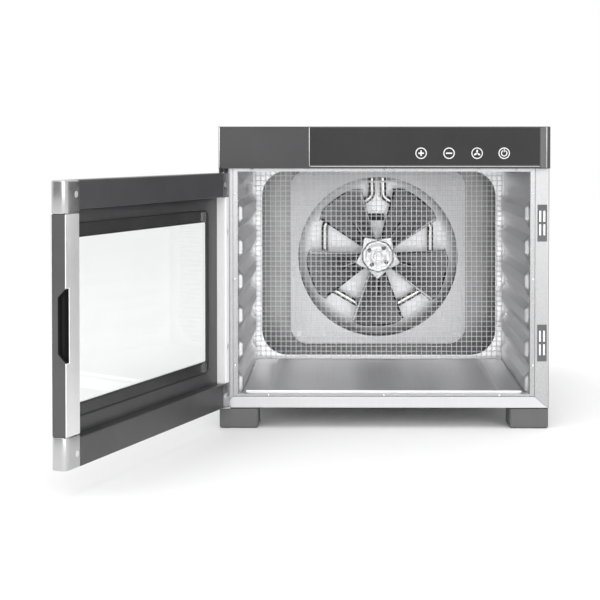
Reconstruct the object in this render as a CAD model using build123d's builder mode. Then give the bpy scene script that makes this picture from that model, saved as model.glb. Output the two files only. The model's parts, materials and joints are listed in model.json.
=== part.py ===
from build123d import *
import os
from math import cos, radians, sin, tan

# Six-shelf cabinet food dehydrator with a glass door, drawn with the door open.
# X runs to the right seen from the front, Y to the back, Z up.
# The origin is the centre of the cabinet's footprint, on the surface it stands on.

# Driving dimensions, mm
WIDTH = 340.0
HEIGHT = 311.0
DEPTH = 434.0
SHEET = 1.0
FOOT_HEIGHT = 20.3
BASE = 21.5
FRONT = -DEPTH / 2
BACK = DEPTH / 2
SIDE = WIDTH / 2

FLANGE_WIDTH = 14.5
SILL_TOP = 32.8
PANEL_BOTTOM = 268.3
PANEL_DEPTH = 16.0

CAVITY_HALF = 150.5
CAVITY_FLOOR = 35.6
CAVITY_TOP = 265.0
CAVITY_DEPTH = 254.0
SHELF_COUNT = 6
SHELF_PITCH = 35.3
LOWEST_SHELF = 51.0
LEDGE_REACH = 5.0

FAN_HEIGHT = 155.0
FAN_RADIUS = 88.0
VENTURI_RADIUS = 97.0
BLADES = 5
HEATER_INRADIUS = 66.0
HEATER_TUBE = 4.0

DOOR_THICKNESS = 15.0
DOOR_LENGTH = 336.4
DOOR_BOTTOM = 24.0
DOOR_TOP = 263.7
DOOR_OPEN = 109.0
DOOR_GAP = 0.6
PIVOT_X = -164.5
PIVOT_INSET = 5.0
PIVOT_FROM_END = 3.4
CAP_HEIGHT = 28.0
RAIL_HEIGHT = 24.7
HANDLE_STILE = 22.6
HINGE_STILE = 8.7
HINGE_CAP = 16.0
RECESS = 10.0
PIN_RADIUS = 2.0
RUNNING_FIT = 0.06
CLEAR = 0.3

GUARD_Y = FRONT + CAVITY_DEPTH
BULKHEAD_Y = GUARD_Y + 3
SHROUD_Y = FRONT + 300
FAN_Y = SHROUD_Y + 20
HEATER_Y = FAN_Y + 22
MOTOR_PLATE_Y = HEATER_Y + 18
SHELL_INNER = SIDE - SHEET

os.makedirs("parts", exist_ok=True)


def facing(y):
    """The plane across the cabinet at depth y; its normal points to the front."""
    return Plane.XZ.offset(-y)


def save(part, name):
    """Writes one piece as parts/name.step."""
    part.label = name
    export_step(part, f"parts/{name}.step")


def ring_of(y, outer, inner, depth, outer_radius=0.0, inner_radius=0.0):
    """A flat rectangular ring across the cabinet; sizes are (half width, bottom, top)."""
    with BuildPart() as ring:
        with BuildSketch(facing(y)):
            for size, radius, mode in (
                (outer, outer_radius, Mode.ADD),
                (inner, inner_radius, Mode.SUBTRACT),
            ):
                half, low, high = size
                with Locations((0, (low + high) / 2)):
                    if radius > 0:
                        RectangleRounded(2 * half, high - low, radius, mode=mode)
                    else:
                        Rectangle(2 * half, high - low, mode=mode)
        extrude(amount=-depth)
    return ring.part


# ---- Cabinet shell ----

CATCH_X = 162.6
CATCH_WIDTH = 9.8
CATCH_LENGTH = 38.0
CATCH_HEIGHTS = (88.5, 212.0)
CATCH_PROUD = 0.3
SHELL_CORNER = 1.5


def make_outer_shell():
    """One sheet wrapped over both sides and the top, with its front edges folded in."""
    height = HEIGHT - BASE
    with BuildPart() as shell:
        with BuildSketch(facing(FRONT)):
            with Locations((0, BASE + height / 2)):
                Rectangle(WIDTH, height)
            with Locations((0, BASE + height / 2 - SHEET / 2)):
                Rectangle(WIDTH - 2 * SHEET, height - SHEET, mode=Mode.SUBTRACT)
        extrude(amount=-(DEPTH - SHEET))
        for side in (-1, 1):
            inner = side * (SIDE - FLANGE_WIDTH)
            with BuildSketch(facing(FRONT)):
                with BuildLine():
                    Polyline(
                        (side * SHELL_INNER, BASE + CLEAR),
                        (side * SHELL_INNER, HEIGHT - SHEET),
                        (inner, HEIGHT - SHEET),
                        (inner, SILL_TOP + CLEAR),
                        close=True,
                    )
                make_face()
            extrude(amount=-SHEET)
            with BuildSketch(facing(BACK - SHEET)):
                with Locations((side * (SHELL_INNER - 6), BASE + height / 2)):
                    Rectangle(12, height - 2 * SHEET - 6)
            extrude(amount=SHEET)
        for x in (-SIDE, SIDE):
            fillet(
                shell.edges().filter_by(Axis.Z).filter_by_position(Axis.X, x - 0.1, x + 0.1)
                .filter_by_position(Axis.Y, FRONT - 0.1, FRONT + 0.1),
                SHELL_CORNER,
            )
        with BuildSketch(facing(FRONT)):
            for z in CATCH_HEIGHTS:
                with Locations((CATCH_X, z)):
                    Rectangle(CATCH_WIDTH, CATCH_LENGTH)
        extrude(amount=-SHEET, mode=Mode.SUBTRACT)
    return shell.part


def make_base_plate():
    """Floor of the cabinet with a folded front lip, mitred to the shell's flanges."""
    with BuildPart() as base:
        with BuildSketch(Plane.XY.offset(BASE)):
            Rectangle(2 * SHELL_INNER, DEPTH - 2 * SHEET)
        extrude(amount=SHEET)
        with BuildSketch(facing(FRONT)):
            with BuildLine():
                Polyline(
                    (-SHELL_INNER, BASE),
                    (SHELL_INNER, BASE),
                    (SIDE - FLANGE_WIDTH, SILL_TOP),
                    (-SIDE + FLANGE_WIDTH, SILL_TOP),
                    close=True,
                )
            make_face()
        extrude(amount=-SHEET)
        with BuildSketch(Plane.XY.offset(BASE)):
            with GridLocations(2 * FOOT_X, 2 * FOOT_Y, 2, 2):
                Circle(2.1)
        extrude(amount=SHEET, mode=Mode.SUBTRACT)
    return base.part


VENT_CENTRE = 166.0
VENT_RINGS = ((16, 8), (30, 12), (44, 18), (58, 24), (72, 30))
VENT_SLOT = 3.6
COVER_SCREWS = [(x, z) for x in (-162, 162) for z in (36, 166, 296)] + [(-80, 303), (80, 303)]
GLAND_X = 118.0
GLAND_Z = 52.0
GLAND_HOLE = 7.0


def make_rear_cover():
    """Back sheet with rings of air slots, screw holes and the cord gland's hole."""
    with BuildPart() as cover:
        with BuildSketch(facing(BACK)):
            with Locations((0, (BASE + HEIGHT) / 2)):
                RectangleRounded(WIDTH, HEIGHT - BASE, 1.5)
            with Locations((0, VENT_CENTRE)):
                for radius, count in VENT_RINGS:
                    with PolarLocations(radius, count):
                        SlotOverall(11, VENT_SLOT, mode=Mode.SUBTRACT)
            with Locations(*COVER_SCREWS):
                Circle(1.8, mode=Mode.SUBTRACT)
            with Locations((GLAND_X, GLAND_Z)):
                Circle(GLAND_HOLE, mode=Mode.SUBTRACT)
        extrude(amount=SHEET)
    return cover.part


def make_cover_screws():
    """Domed heads with short shanks through the rear cover."""
    with BuildPart() as screws:
        with BuildSketch(facing(BACK)):
            with Locations(*COVER_SCREWS):
                Circle(3.2)
        extrude(amount=-1.4)
        chamfer(screws.faces().sort_by(Axis.Y)[-len(COVER_SCREWS):].edges(), 0.6)
        with BuildSketch(facing(BACK)):
            with Locations(*COVER_SCREWS):
                Circle(1.6)
        extrude(amount=SHEET)
    return screws.part


FOOT_SIZE = 40.0
FOOT_X = SIDE - FOOT_SIZE / 2 - 0.4
FOOT_Y = DEPTH / 2 - FOOT_SIZE / 2 - 1.0


def make_feet():
    """Moulded blocks with a narrow neck under the base and a counterbore below."""
    with BuildPart() as feet:
        with BuildSketch(Plane.XY):
            with GridLocations(2 * FOOT_X, 2 * FOOT_Y, 2, 2):
                RectangleRounded(FOOT_SIZE, FOOT_SIZE, 2.5)
        extrude(amount=FOOT_HEIGHT)
        chamfer(feet.faces().sort_by(Axis.Z)[:4].edges(), 1.6)
        with BuildSketch(Plane.XY.offset(FOOT_HEIGHT)):
            with GridLocations(2 * FOOT_X, 2 * FOOT_Y, 2, 2):
                RectangleRounded(FOOT_SIZE - 5, FOOT_SIZE - 5, 2)
        extrude(amount=BASE - FOOT_HEIGHT)
        with Locations(Plane((0, 0, 0), z_dir=(0, 0, -1))):
            with GridLocations(2 * FOOT_X, 2 * FOOT_Y, 2, 2):
                CounterBoreHole(2.1, 5.0, 12.0, depth=BASE)
    return feet.part


def make_foot_screws():
    """Pan-head screws up through the feet into the base plate."""
    with BuildPart() as screws:
        with BuildSketch(Plane.XY.offset(9)):
            with GridLocations(2 * FOOT_X, 2 * FOOT_Y, 2, 2):
                Circle(4.2)
        extrude(amount=3)
        with BuildSketch(Plane.XY.offset(12)):
            with GridLocations(2 * FOOT_X, 2 * FOOT_Y, 2, 2):
                Circle(1.95)
        extrude(amount=BASE + SHEET - 12 + 2)
    return screws.part


def make_cord_gland():
    """Bush in the rear cover where a supply lead would enter."""
    with BuildPart() as gland:
        with BuildSketch(facing(BACK)):
            with Locations((GLAND_X, GLAND_Z)):
                Circle(10)
        extrude(amount=-4)
        fillet(gland.faces().sort_by(Axis.Y)[-1].edges(), 1.5)
        with BuildSketch(facing(BACK)):
            with Locations((GLAND_X, GLAND_Z)):
                Circle(GLAND_HOLE - 0.1)
        extrude(amount=5)
        with BuildSketch(facing(BACK + 4)):
            with Locations((GLAND_X, GLAND_Z)):
                Circle(4)
        extrude(amount=9, mode=Mode.SUBTRACT)
    return gland.part


# ---- Drying cavity ----

LINER_SHEET = 1.0
LINER_FRONT = FRONT + 2.0
LINER_BACK = GUARD_Y - 1.5
LEDGE_TOP_FLANK = 7.0
LEDGE_FLAT = 12.0
LEDGE_LOW_FLANK = 10.0
LEDGE_START = LINER_FRONT + 7
LEDGE_END = LINER_BACK - 6


def ledge_outline(top, grow):
    """Half-hexagon rib on the right wall; grow moves the outline out of the sheet."""
    wall = CAVITY_HALF + LINER_SHEET * (1 if grow else 0)
    face = CAVITY_HALF - LEDGE_REACH + (LINER_SHEET if grow else 0)
    shift = LINER_SHEET * 0.4 if grow else 0
    return [
        (wall, top + LEDGE_TOP_FLANK - shift),
        (face, top - shift),
        (face, top - LEDGE_FLAT + shift),
        (wall, top - LEDGE_FLAT - LEDGE_LOW_FLANK + shift),
    ]


def make_liner_side():
    """Right cavity wall, pressed with six hollow shelf ledges."""
    tops = [LOWEST_SHELF + i * SHELF_PITCH for i in range(SHELF_COUNT)]
    with BuildPart() as wall:
        with BuildSketch(facing(LINER_FRONT)):
            with Locations((CAVITY_HALF + LINER_SHEET / 2, (CAVITY_FLOOR + CAVITY_TOP) / 2)):
                Rectangle(LINER_SHEET, CAVITY_TOP - CAVITY_FLOOR)
        extrude(amount=-(LINER_BACK - LINER_FRONT))
        for hollow, mode in ((False, Mode.ADD), (True, Mode.SUBTRACT)):
            inset = LINER_SHEET if hollow else 0
            with BuildSketch(facing(LEDGE_START + inset)):
                for top in tops:
                    with BuildLine():
                        Polyline(*ledge_outline(top, hollow), close=True)
                    make_face()
            extrude(amount=-(LEDGE_END - LEDGE_START - 2 * inset), mode=mode)
        split(bisect_by=Plane.XY.offset(CAVITY_FLOOR), keep=Keep.TOP)
    return wall.part


def make_liner_floor():
    """Flat sheet under the cavity."""
    with BuildPart() as floor:
        with BuildSketch(Plane.XY.offset(CAVITY_FLOOR)):
            with Locations((0, (LINER_FRONT + LINER_BACK) / 2)):
                Rectangle(2 * (CAVITY_HALF + LINER_SHEET), LINER_BACK - LINER_FRONT)
        extrude(amount=-LINER_SHEET)
    return floor.part


def make_liner_ceiling():
    """Flat sheet over the cavity."""
    with BuildPart() as ceiling:
        with BuildSketch(Plane.XY.offset(CAVITY_TOP)):
            with Locations((0, (LINER_FRONT + LINER_BACK) / 2)):
                Rectangle(2 * (CAVITY_HALF + LINER_SHEET), LINER_BACK - LINER_FRONT)
        extrude(amount=LINER_SHEET)
    return ceiling.part


TRIM_OUTER = SIDE - FLANGE_WIDTH - CLEAR
TRIM_BEAD = 1.4
TRIM_SCREW_RADIUS = 1.2


def trim_screw_places():
    """Three screws up each side, three over the chamber and three along its sill."""
    sides = [(x, z) for x in (-153.3, 153.3) for z in (65.0, 154.0, 242.0)]
    over = [(x, CAVITY_TOP + 1.7) for x in (-136.0, 0.0, 136.0)]
    under = [(x, CAVITY_FLOOR - 1.4) for x in (-119.0, 0.0, 119.0)]
    return sides + over + under


def make_liner_trim():
    """Front ring between liner and shell; its raised bead is notched around the screws."""
    outer = (TRIM_OUTER, SILL_TOP + CLEAR, CAVITY_TOP + 3.1)
    inner = (CAVITY_HALF, CAVITY_FLOOR, CAVITY_TOP)
    with BuildPart() as trim:
        add(ring_of(FRONT + 1.0, outer, inner, 1.0))
        bead = (CAVITY_HALF + TRIM_BEAD, CAVITY_FLOOR - TRIM_BEAD, CAVITY_TOP + TRIM_BEAD)
        add(ring_of(FRONT + 0.3, bead, inner, 0.8))
        with BuildSketch(facing(FRONT + 1.0)):
            with Locations(*trim_screw_places()):
                Circle(TRIM_SCREW_RADIUS + 0.05)
        extrude(amount=1.0, mode=Mode.SUBTRACT)
    return trim.part


def make_trim_screws():
    """Small flat heads around the front ring."""
    with BuildPart() as screws:
        with BuildSketch(facing(FRONT + 1.0)):
            with Locations(*trim_screw_places()):
                Circle(TRIM_SCREW_RADIUS)
        extrude(amount=0.6)
    return screws.part


def make_rear_bulkhead():
    """Wall behind the wire guard with one large rounded opening for the air."""
    outer = (SHELL_INNER - 0.5, BASE + SHEET, HEIGHT - SHEET - 0.5)
    inner = (139.5, 40.5, 261.0)
    return ring_of(BULKHEAD_Y, outer, inner, SHEET, inner_radius=30.0)


GUARD_PITCH = 6.0
GUARD_WIRE = 0.8
GUARD_HALF = 148.5
GUARD_LOW = CAVITY_FLOOR + 1.6
GUARD_HIGH = CAVITY_TOP - 2.1


def make_mesh_guard():
    """Welded wire screen: upright wires in front of level ones."""
    across = int(2 * GUARD_HALF / GUARD_PITCH) + 1
    levels = int((GUARD_HIGH - GUARD_LOW) / GUARD_PITCH) + 1
    middle = (GUARD_LOW + GUARD_HIGH) / 2
    with BuildPart() as guard:
        with BuildSketch(Plane.XY.offset(GUARD_LOW)):
            with Locations((0, GUARD_Y + GUARD_WIRE / 2)):
                with GridLocations(GUARD_PITCH, 1, across, 1):
                    Rectangle(GUARD_WIRE, GUARD_WIRE)
        extrude(amount=GUARD_HIGH - GUARD_LOW)
        with BuildSketch(Plane.YZ.offset(-GUARD_HALF)):
            with Locations((GUARD_Y + 1.5 * GUARD_WIRE, middle)):
                with GridLocations(1, GUARD_PITCH, 1, levels):
                    Rectangle(GUARD_WIRE, GUARD_WIRE)
        extrude(amount=2 * GUARD_HALF)
    return guard.part


# ---- Air path: shroud, heater, fan and motor ----

SHROUD_HALF = 107.0
STANDOFFS = [(x, FAN_HEIGHT + z) for x in (-96, 96) for z in (-94, 94)]


def make_fan_shroud():
    """Rounded square plate with a rolled inlet collar around the fan."""
    with BuildPart() as shroud:
        with BuildSketch(facing(SHROUD_Y)):
            with Locations((0, FAN_HEIGHT)):
                RectangleRounded(2 * SHROUD_HALF, 2 * SHROUD_HALF, 22)
                Circle(VENTURI_RADIUS, mode=Mode.SUBTRACT)
            with Locations(*STANDOFFS):
                Circle(2, mode=Mode.SUBTRACT)
        extrude(amount=-SHEET)
        with BuildSketch(facing(SHROUD_Y)):
            with Locations((0, FAN_HEIGHT)):
                Circle(VENTURI_RADIUS + SHEET)
                Circle(VENTURI_RADIUS, mode=Mode.SUBTRACT)
        extrude(amount=-16)
    return shroud.part


def make_shroud_standoffs():
    """Four pillars that carry the shroud on the motor plate, each with a screw head."""
    with BuildPart() as pillars:
        with BuildSketch(facing(SHROUD_Y + SHEET)):
            with Locations(*STANDOFFS):
                Circle(4)
        extrude(amount=-(MOTOR_PLATE_Y - SHROUD_Y - SHEET))
        with BuildSketch(facing(SHROUD_Y + SHEET)):
            with Locations(*STANDOFFS):
                Circle(2)
        extrude(amount=SHEET)
        with BuildSketch(facing(SHROUD_Y)):
            with Locations(*STANDOFFS):
                Circle(3.4)
        extrude(amount=1.6)
    return pillars.part


def make_motor_plate():
    """Back wall of the air chamber, which carries the motor, heater and shroud."""
    with BuildPart() as plate:
        with BuildSketch(facing(MOTOR_PLATE_Y)):
            with Locations((0, (BASE + HEIGHT) / 2)):
                Rectangle(2 * SHELL_INNER - 1, HEIGHT - BASE - 4)
            with Locations((0, FAN_HEIGHT)):
                Circle(SHAFT_RADIUS + 4, mode=Mode.SUBTRACT)
        extrude(amount=-1.2)
    return plate.part


HEATER_LEG_X = 7.0
HEATER_LEG_TOP = 98.0


def make_heater():
    """Tubular element bent to a hexagon, with two legs at its top corner."""
    corner = HEATER_INRADIUS * tan(radians(30))
    shoulder = HEATER_INRADIUS / cos(radians(30)) - HEATER_LEG_X * tan(radians(30))
    left = [(-HEATER_LEG_X, HEATER_LEG_TOP), (-HEATER_LEG_X, shoulder), (-HEATER_INRADIUS, corner),
            (-HEATER_INRADIUS, -corner)]
    right = [(-x, z) for x, z in reversed(left)]
    points = left + [(0, -2 * corner)] + right
    with BuildPart() as heater:
        with BuildLine(Plane((0, HEATER_Y, FAN_HEIGHT), x_dir=(1, 0, 0), z_dir=(0, -1, 0))) as path:
            FilletPolyline(*points, radius=9)
        with BuildSketch(Plane(path.wires()[0] @ 0, z_dir=path.wires()[0] % 0)):
            Circle(HEATER_TUBE)
        sweep(path=path.wires()[0])
    return heater.part


def make_heater_terminals():
    """Ceramic collars and threaded ends on the heater's two legs."""
    top = FAN_HEIGHT + HEATER_LEG_TOP
    with BuildPart() as terminals:
        for radius, low, high in ((5.0, top, top + 5), (2.0, top + 5, top + 11)):
            with BuildSketch(Plane.XY.offset(low)):
                with Locations((-HEATER_LEG_X, HEATER_Y), (HEATER_LEG_X, HEATER_Y)):
                    Circle(radius)
            extrude(amount=high - low)
    return terminals.part


def make_heater_bracket():
    """Shelf on the motor plate with two holes for the heater's legs."""
    with BuildPart() as bracket:
        with BuildSketch(Plane.XY.offset(FAN_HEIGHT + HEATER_LEG_TOP - 8)):
            with Locations((0, (HEATER_Y - 8 + MOTOR_PLATE_Y) / 2)):
                Rectangle(40, MOTOR_PLATE_Y - HEATER_Y + 8)
            with Locations((-HEATER_LEG_X, HEATER_Y), (HEATER_LEG_X, HEATER_Y)):
                Circle(HEATER_TUBE, mode=Mode.SUBTRACT)
        extrude(amount=1.5)
    return bracket.part


def make_heater_clips():
    """Posts from the motor plate to the heater's upright sides."""
    with BuildPart() as clips:
        with BuildSketch(facing(HEATER_Y + HEATER_TUBE)):
            with Locations((-HEATER_INRADIUS, FAN_HEIGHT), (HEATER_INRADIUS, FAN_HEIGHT)):
                Rectangle(7, 14)
        extrude(amount=-(MOTOR_PLATE_Y - HEATER_Y - HEATER_TUBE))
    return clips.part


def make_thermostat():
    """Black cut-out switch, above its bracket."""
    with BuildPart() as body:
        with BuildSketch(facing(MOTOR_PLATE_Y - 14)):
            with Locations((-1.5, 201.5)):
                RectangleRounded(20, 8, 1.5)
        extrude(amount=-14)
    return body.part


def make_thermostat_bracket():
    """Folded aluminium plate that holds the cut-out switch on the motor plate."""
    with BuildPart() as bracket:
        with BuildSketch(facing(MOTOR_PLATE_Y - 16)):
            with Locations((-0.5, 191.0)):
                RectangleRounded(20, 12.6, 1.0)
        extrude(amount=-1.5)
        with BuildSketch(facing(MOTOR_PLATE_Y - 14.5)):
            with Locations((-0.5, 186.0)):
                Rectangle(20, 1.5)
        extrude(amount=-14.5)
    return bracket.part


SHAFT_RADIUS = 4.0
STATOR_Y = MOTOR_PLATE_Y + 13
STATOR_STACK = 20.0
ROTOR_RADIUS = 14.0
BEARING_WALLS = (MOTOR_PLATE_Y + 5, STATOR_Y + STATOR_STACK + 6)
POSTS = [(x, FAN_HEIGHT + z) for x in (-27, 27) for z in (-20, 20)]


def make_stator():
    """Laminated iron stack with a round rotor tunnel and a window for the coil."""
    with BuildPart() as stator:
        with BuildSketch(facing(STATOR_Y)):
            with Locations((0, FAN_HEIGHT - 12)):
                Rectangle(66, 76)
            with Locations((0, FAN_HEIGHT)):
                Circle(ROTOR_RADIUS + 0.4, mode=Mode.SUBTRACT)
            with Locations(*POSTS):
                Circle(2.5, mode=Mode.SUBTRACT)
            for x in (-17, 17):
                with Locations((x, FAN_HEIGHT - 34)):
                    Rectangle(16, 20, mode=Mode.SUBTRACT)
        extrude(amount=-STATOR_STACK)
    return stator.part


def make_coil():
    """Winding around the stator's lower limb."""
    with BuildPart() as coil:
        with BuildSketch(Plane.XY.offset(FAN_HEIGHT - 43)):
            with Locations((0, STATOR_Y + STATOR_STACK / 2)):
                RectangleRounded(48, STATOR_STACK + 12, 4)
                Rectangle(18, STATOR_STACK, mode=Mode.SUBTRACT)
        extrude(amount=16.5)
    return coil.part


def make_motor_brackets():
    """Two bearing walls, in front of and behind the stator."""
    with BuildPart() as walls:
        for y in BEARING_WALLS:
            with BuildSketch(facing(y)):
                with Locations((0, FAN_HEIGHT)):
                    RectangleRounded(64, 52, 5)
                    Circle(9, mode=Mode.SUBTRACT)
                with Locations(*POSTS):
                    Circle(2.5, mode=Mode.SUBTRACT)
            extrude(amount=-3)
    return walls.part


def make_motor_posts():
    """Four rods that hold the bearing walls and the stator on the motor plate."""
    with BuildPart() as posts:
        with BuildSketch(facing(MOTOR_PLATE_Y + 1.2)):
            with Locations(*POSTS):
                Circle(2.5)
        extrude(amount=-(BEARING_WALLS[1] + 5 - MOTOR_PLATE_Y - 1.2))
    return posts.part


def make_bearings():
    """Sintered bushes in the bearing walls, a running fit on the shaft."""
    with BuildPart() as bushes:
        for y in BEARING_WALLS:
            with BuildSketch(facing(y)):
                with Locations((0, FAN_HEIGHT)):
                    Circle(9)
                    Circle(SHAFT_RADIUS + RUNNING_FIT, mode=Mode.SUBTRACT)
            extrude(amount=-3)
    return bushes.part


def make_rotor():
    """Laminated rotor pressed on the shaft."""
    with BuildPart() as rotor:
        with BuildSketch(facing(STATOR_Y)):
            with Locations((0, FAN_HEIGHT)):
                Circle(ROTOR_RADIUS)
                Circle(SHAFT_RADIUS, mode=Mode.SUBTRACT)
        extrude(amount=-STATOR_STACK)
    return rotor.part


def make_shaft():
    """Shaft from the fan hub through both bearing walls."""
    with BuildPart() as shaft:
        with BuildSketch(facing(FAN_Y - HUB_FRONT)):
            with Locations((0, FAN_HEIGHT)):
                Circle(SHAFT_RADIUS)
        extrude(amount=-(BEARING_WALLS[1] + 6 - FAN_Y + HUB_FRONT))
    return shaft.part


HUB_RADIUS = 20.0
STAR_RADIUS = 29.0
BLADE_SHEET = 1.2
BLADE_SECTIONS = ((15, 20, 34), (50, 46, 27), (90, 74, 21))
HUB_BACK = -4.0
HUB_FRONT = 10.5
FAN_PLANE = Plane((0, FAN_Y, FAN_HEIGHT), x_dir=(1, 0, 0), z_dir=(0, -1, 0))
FIRST_BLADE = -90.0


def make_fan_wheel():
    """Five twisted sheet blades on a thick centre disc, with a rib along each root."""
    with BuildPart() as blade:
        for radius, chord, pitch in BLADE_SECTIONS:
            with BuildSketch(Plane.YZ.offset(radius)):
                Rectangle(chord, BLADE_SHEET, rotation=pitch)
        loft()
        with BuildSketch(Plane.XY.offset(-40)):
            Circle(FAN_RADIUS)
        extrude(amount=80, mode=Mode.INTERSECT)
        with BuildSketch(Plane.XY.offset(-2)):
            with Locations((30, 0)):
                SlotOverall(36, 3)
        extrude(amount=6)
    with BuildPart(FAN_PLANE) as wheel:
        with PolarLocations(0, BLADES, start_angle=FIRST_BLADE):
            add(blade.part)
        with BuildSketch(FAN_PLANE.offset(HUB_BACK)):
            Circle(HUB_RADIUS)
        extrude(amount=HUB_FRONT - HUB_BACK)
        with BuildSketch(FAN_PLANE.offset(HUB_BACK)):
            Circle(SHAFT_RADIUS)
        extrude(amount=HUB_FRONT - HUB_BACK, mode=Mode.SUBTRACT)
    return wheel.part


RIVETS = 4
RIVET_CIRCLE = 12.5
FIRST_RIVET = 55.0


def star_points():
    """Corners of the five-pointed hub plate, each point over a blade."""
    step = 180 / BLADES
    corners = []
    for i in range(2 * BLADES):
        radius = HUB_RADIUS + 1 if i % 2 else STAR_RADIUS
        angle = radians(FIRST_BLADE + i * step)
        corners.append((radius * cos(angle), radius * sin(angle)))
    return corners


def make_fan_hub():
    """Five-pointed pressed plate with a raised round cap, riveted to the wheel."""
    with BuildPart(FAN_PLANE) as hub:
        with BuildSketch(FAN_PLANE.offset(HUB_FRONT)) as star:
            with BuildLine():
                Polyline(*star_points(), close=True)
            make_face()
            fillet(star.vertices(), 3.0)
        extrude(amount=1.2)
        with BuildSketch(FAN_PLANE.offset(HUB_FRONT + 1.2)):
            Circle(HUB_RADIUS)
        extrude(amount=1.8, taper=30)
        with BuildSketch(FAN_PLANE.offset(HUB_FRONT)):
            with PolarLocations(RIVET_CIRCLE, RIVETS, start_angle=FIRST_RIVET):
                Circle(1.6)
        extrude(amount=3, mode=Mode.SUBTRACT)
    return hub.part


def make_fan_rivets():
    """Rivets that hold the hub plate on the wheel."""
    with BuildPart() as rivets:
        with BuildSketch(FAN_PLANE.offset(HUB_FRONT)):
            with PolarLocations(RIVET_CIRCLE, RIVETS, start_angle=FIRST_RIVET):
                Circle(1.6)
        extrude(amount=3.0)
        with BuildSketch(FAN_PLANE.offset(HUB_FRONT + 3)):
            with PolarLocations(RIVET_CIRCLE, RIVETS, start_angle=FIRST_RIVET):
                Circle(2.6)
        extrude(amount=1.0, taper=25)
    return rivets.part


# ---- Control panel ----

PANEL_HALF = 169.0
PANEL_FACE = FRONT - PANEL_DEPTH
PANEL_WALL = 2.0
INLAY = 0.8
OVERLAY_X = (-75.6, 157.8)
OVERLAY_Z = (272.0, 309.6)
BADGE_X = (-166.5, -77.2)
TOUCH_X = (37.3, 65.7, 94.2, 121.7)
TOUCH_Z = 283.9
TOUCH_RADIUS = 5.8
BOARD_Y = PANEL_FACE + 7.0


def inlay_sketch(places):
    """Rectangles on the panel face, from (left, right) spans, at the overlay's height."""
    for left, right in places:
        with Locations(((left + right) / 2, sum(OVERLAY_Z) / 2)):
            Rectangle(right - left, OVERLAY_Z[1] - OVERLAY_Z[0])


def make_control_fascia():
    """Hollow panel across the top front with rounded ends and a pocket for the inlays."""
    height = HEIGHT - PANEL_BOTTOM
    with BuildPart() as fascia:
        with BuildSketch(facing(PANEL_FACE)):
            with Locations((0, PANEL_BOTTOM + height / 2)):
                Rectangle(2 * PANEL_HALF, height)
        extrude(amount=-PANEL_DEPTH)
        fillet(fascia.edges().filter_by(Axis.Z).group_by(Axis.Y)[0], 3.5)
        with BuildSketch(facing(PANEL_FACE + PANEL_WALL + INLAY)):
            with Locations((0, PANEL_BOTTOM + height / 2)):
                Rectangle(2 * PANEL_HALF - 10, height - 2 * PANEL_WALL)
        extrude(amount=-PANEL_DEPTH, mode=Mode.SUBTRACT)
        with BuildSketch(facing(PANEL_FACE)):
            inlay_sketch((BADGE_X, OVERLAY_X))
        extrude(amount=-INLAY, mode=Mode.SUBTRACT)
    return fascia.part


def make_inlay(span, height):
    """Thin plate let into the face of the control panel."""
    with BuildPart() as inlay:
        with BuildSketch(facing(PANEL_FACE + INLAY)):
            inlay_sketch((span,))
        extrude(amount=height)
    return inlay.part


def make_touch_marks():
    """Four thin printed marks: plus, minus, three-blade fan and power."""
    mark = 0.15
    with BuildPart() as marks:
        with BuildSketch(facing(PANEL_FACE)):
            with Locations(*[(x, TOUCH_Z) for x in TOUCH_X]):
                Circle(TOUCH_RADIUS)
                Circle(TOUCH_RADIUS - 1.0, mode=Mode.SUBTRACT)
            with Locations((TOUCH_X[0], TOUCH_Z)):
                Rectangle(5.6, 1.4)
                Rectangle(1.4, 5.6)
            with Locations((TOUCH_X[1], TOUCH_Z)):
                Rectangle(6.4, 1.4)
            with Locations((TOUCH_X[2], TOUCH_Z)):
                with PolarLocations(2.0, 3, start_angle=90):
                    Ellipse(1.7, 0.9)
            with Locations((TOUCH_X[3], TOUCH_Z)):
                Circle(3.3)
                Circle(2.3, mode=Mode.SUBTRACT)
            with Locations((TOUCH_X[3], TOUCH_Z + 2.8)):
                Rectangle(2.6, 2.4, mode=Mode.SUBTRACT)
                Rectangle(0.9, 3.4)
        extrude(amount=mark)
    return marks.part


def make_control_board():
    """Circuit board behind the panel."""
    with BuildPart() as board:
        with BuildSketch(facing(BOARD_Y)):
            with Locations((60, 289.5)):
                Rectangle(180, 34)
        extrude(amount=-1.6)
        with BuildSketch(facing(BOARD_Y + 1.6)):
            with Locations((20, 292), (70, 285), (110, 296)):
                Rectangle(12, 9)
        extrude(amount=-3)
    return board.part


def make_display():
    """Digit block behind the overlay."""
    with BuildPart() as display:
        with BuildSketch(facing(BOARD_Y)):
            with Locations((-5, 290)):
                Rectangle(44, 18)
        extrude(amount=BOARD_Y - PANEL_FACE - PANEL_WALL - INLAY - 0.2)
    return display.part


def make_touch_springs():
    """Contact springs between the board and the panel, drawn as sleeves."""
    with BuildPart() as springs:
        with BuildSketch(facing(BOARD_Y)):
            with Locations(*[(x, TOUCH_Z) for x in TOUCH_X]):
                Circle(4)
                Circle(3.2, mode=Mode.SUBTRACT)
        extrude(amount=BOARD_Y - PANEL_FACE - PANEL_WALL - INLAY)
    return springs.part


def make_power_board():
    """Mains board on pillars above the cavity, with its transformer and relay."""
    deck = CAVITY_TOP + LINER_SHEET
    with BuildPart() as board:
        with BuildSketch(Plane.XY.offset(deck)):
            with Locations((-80, -100)):
                with GridLocations(80, 50, 2, 2):
                    Circle(2.5)
        extrude(amount=6)
        with BuildSketch(Plane.XY.offset(deck + 6)):
            with Locations((-80, -100)):
                Rectangle(92, 62)
        extrude(amount=1.6)
        with BuildSketch(Plane.XY.offset(deck + 7.6)):
            with Locations((-100, -105)):
                Rectangle(34, 30)
            with Locations((-60, -90)):
                Rectangle(16, 20)
        extrude(amount=20)
    return board.part


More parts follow.
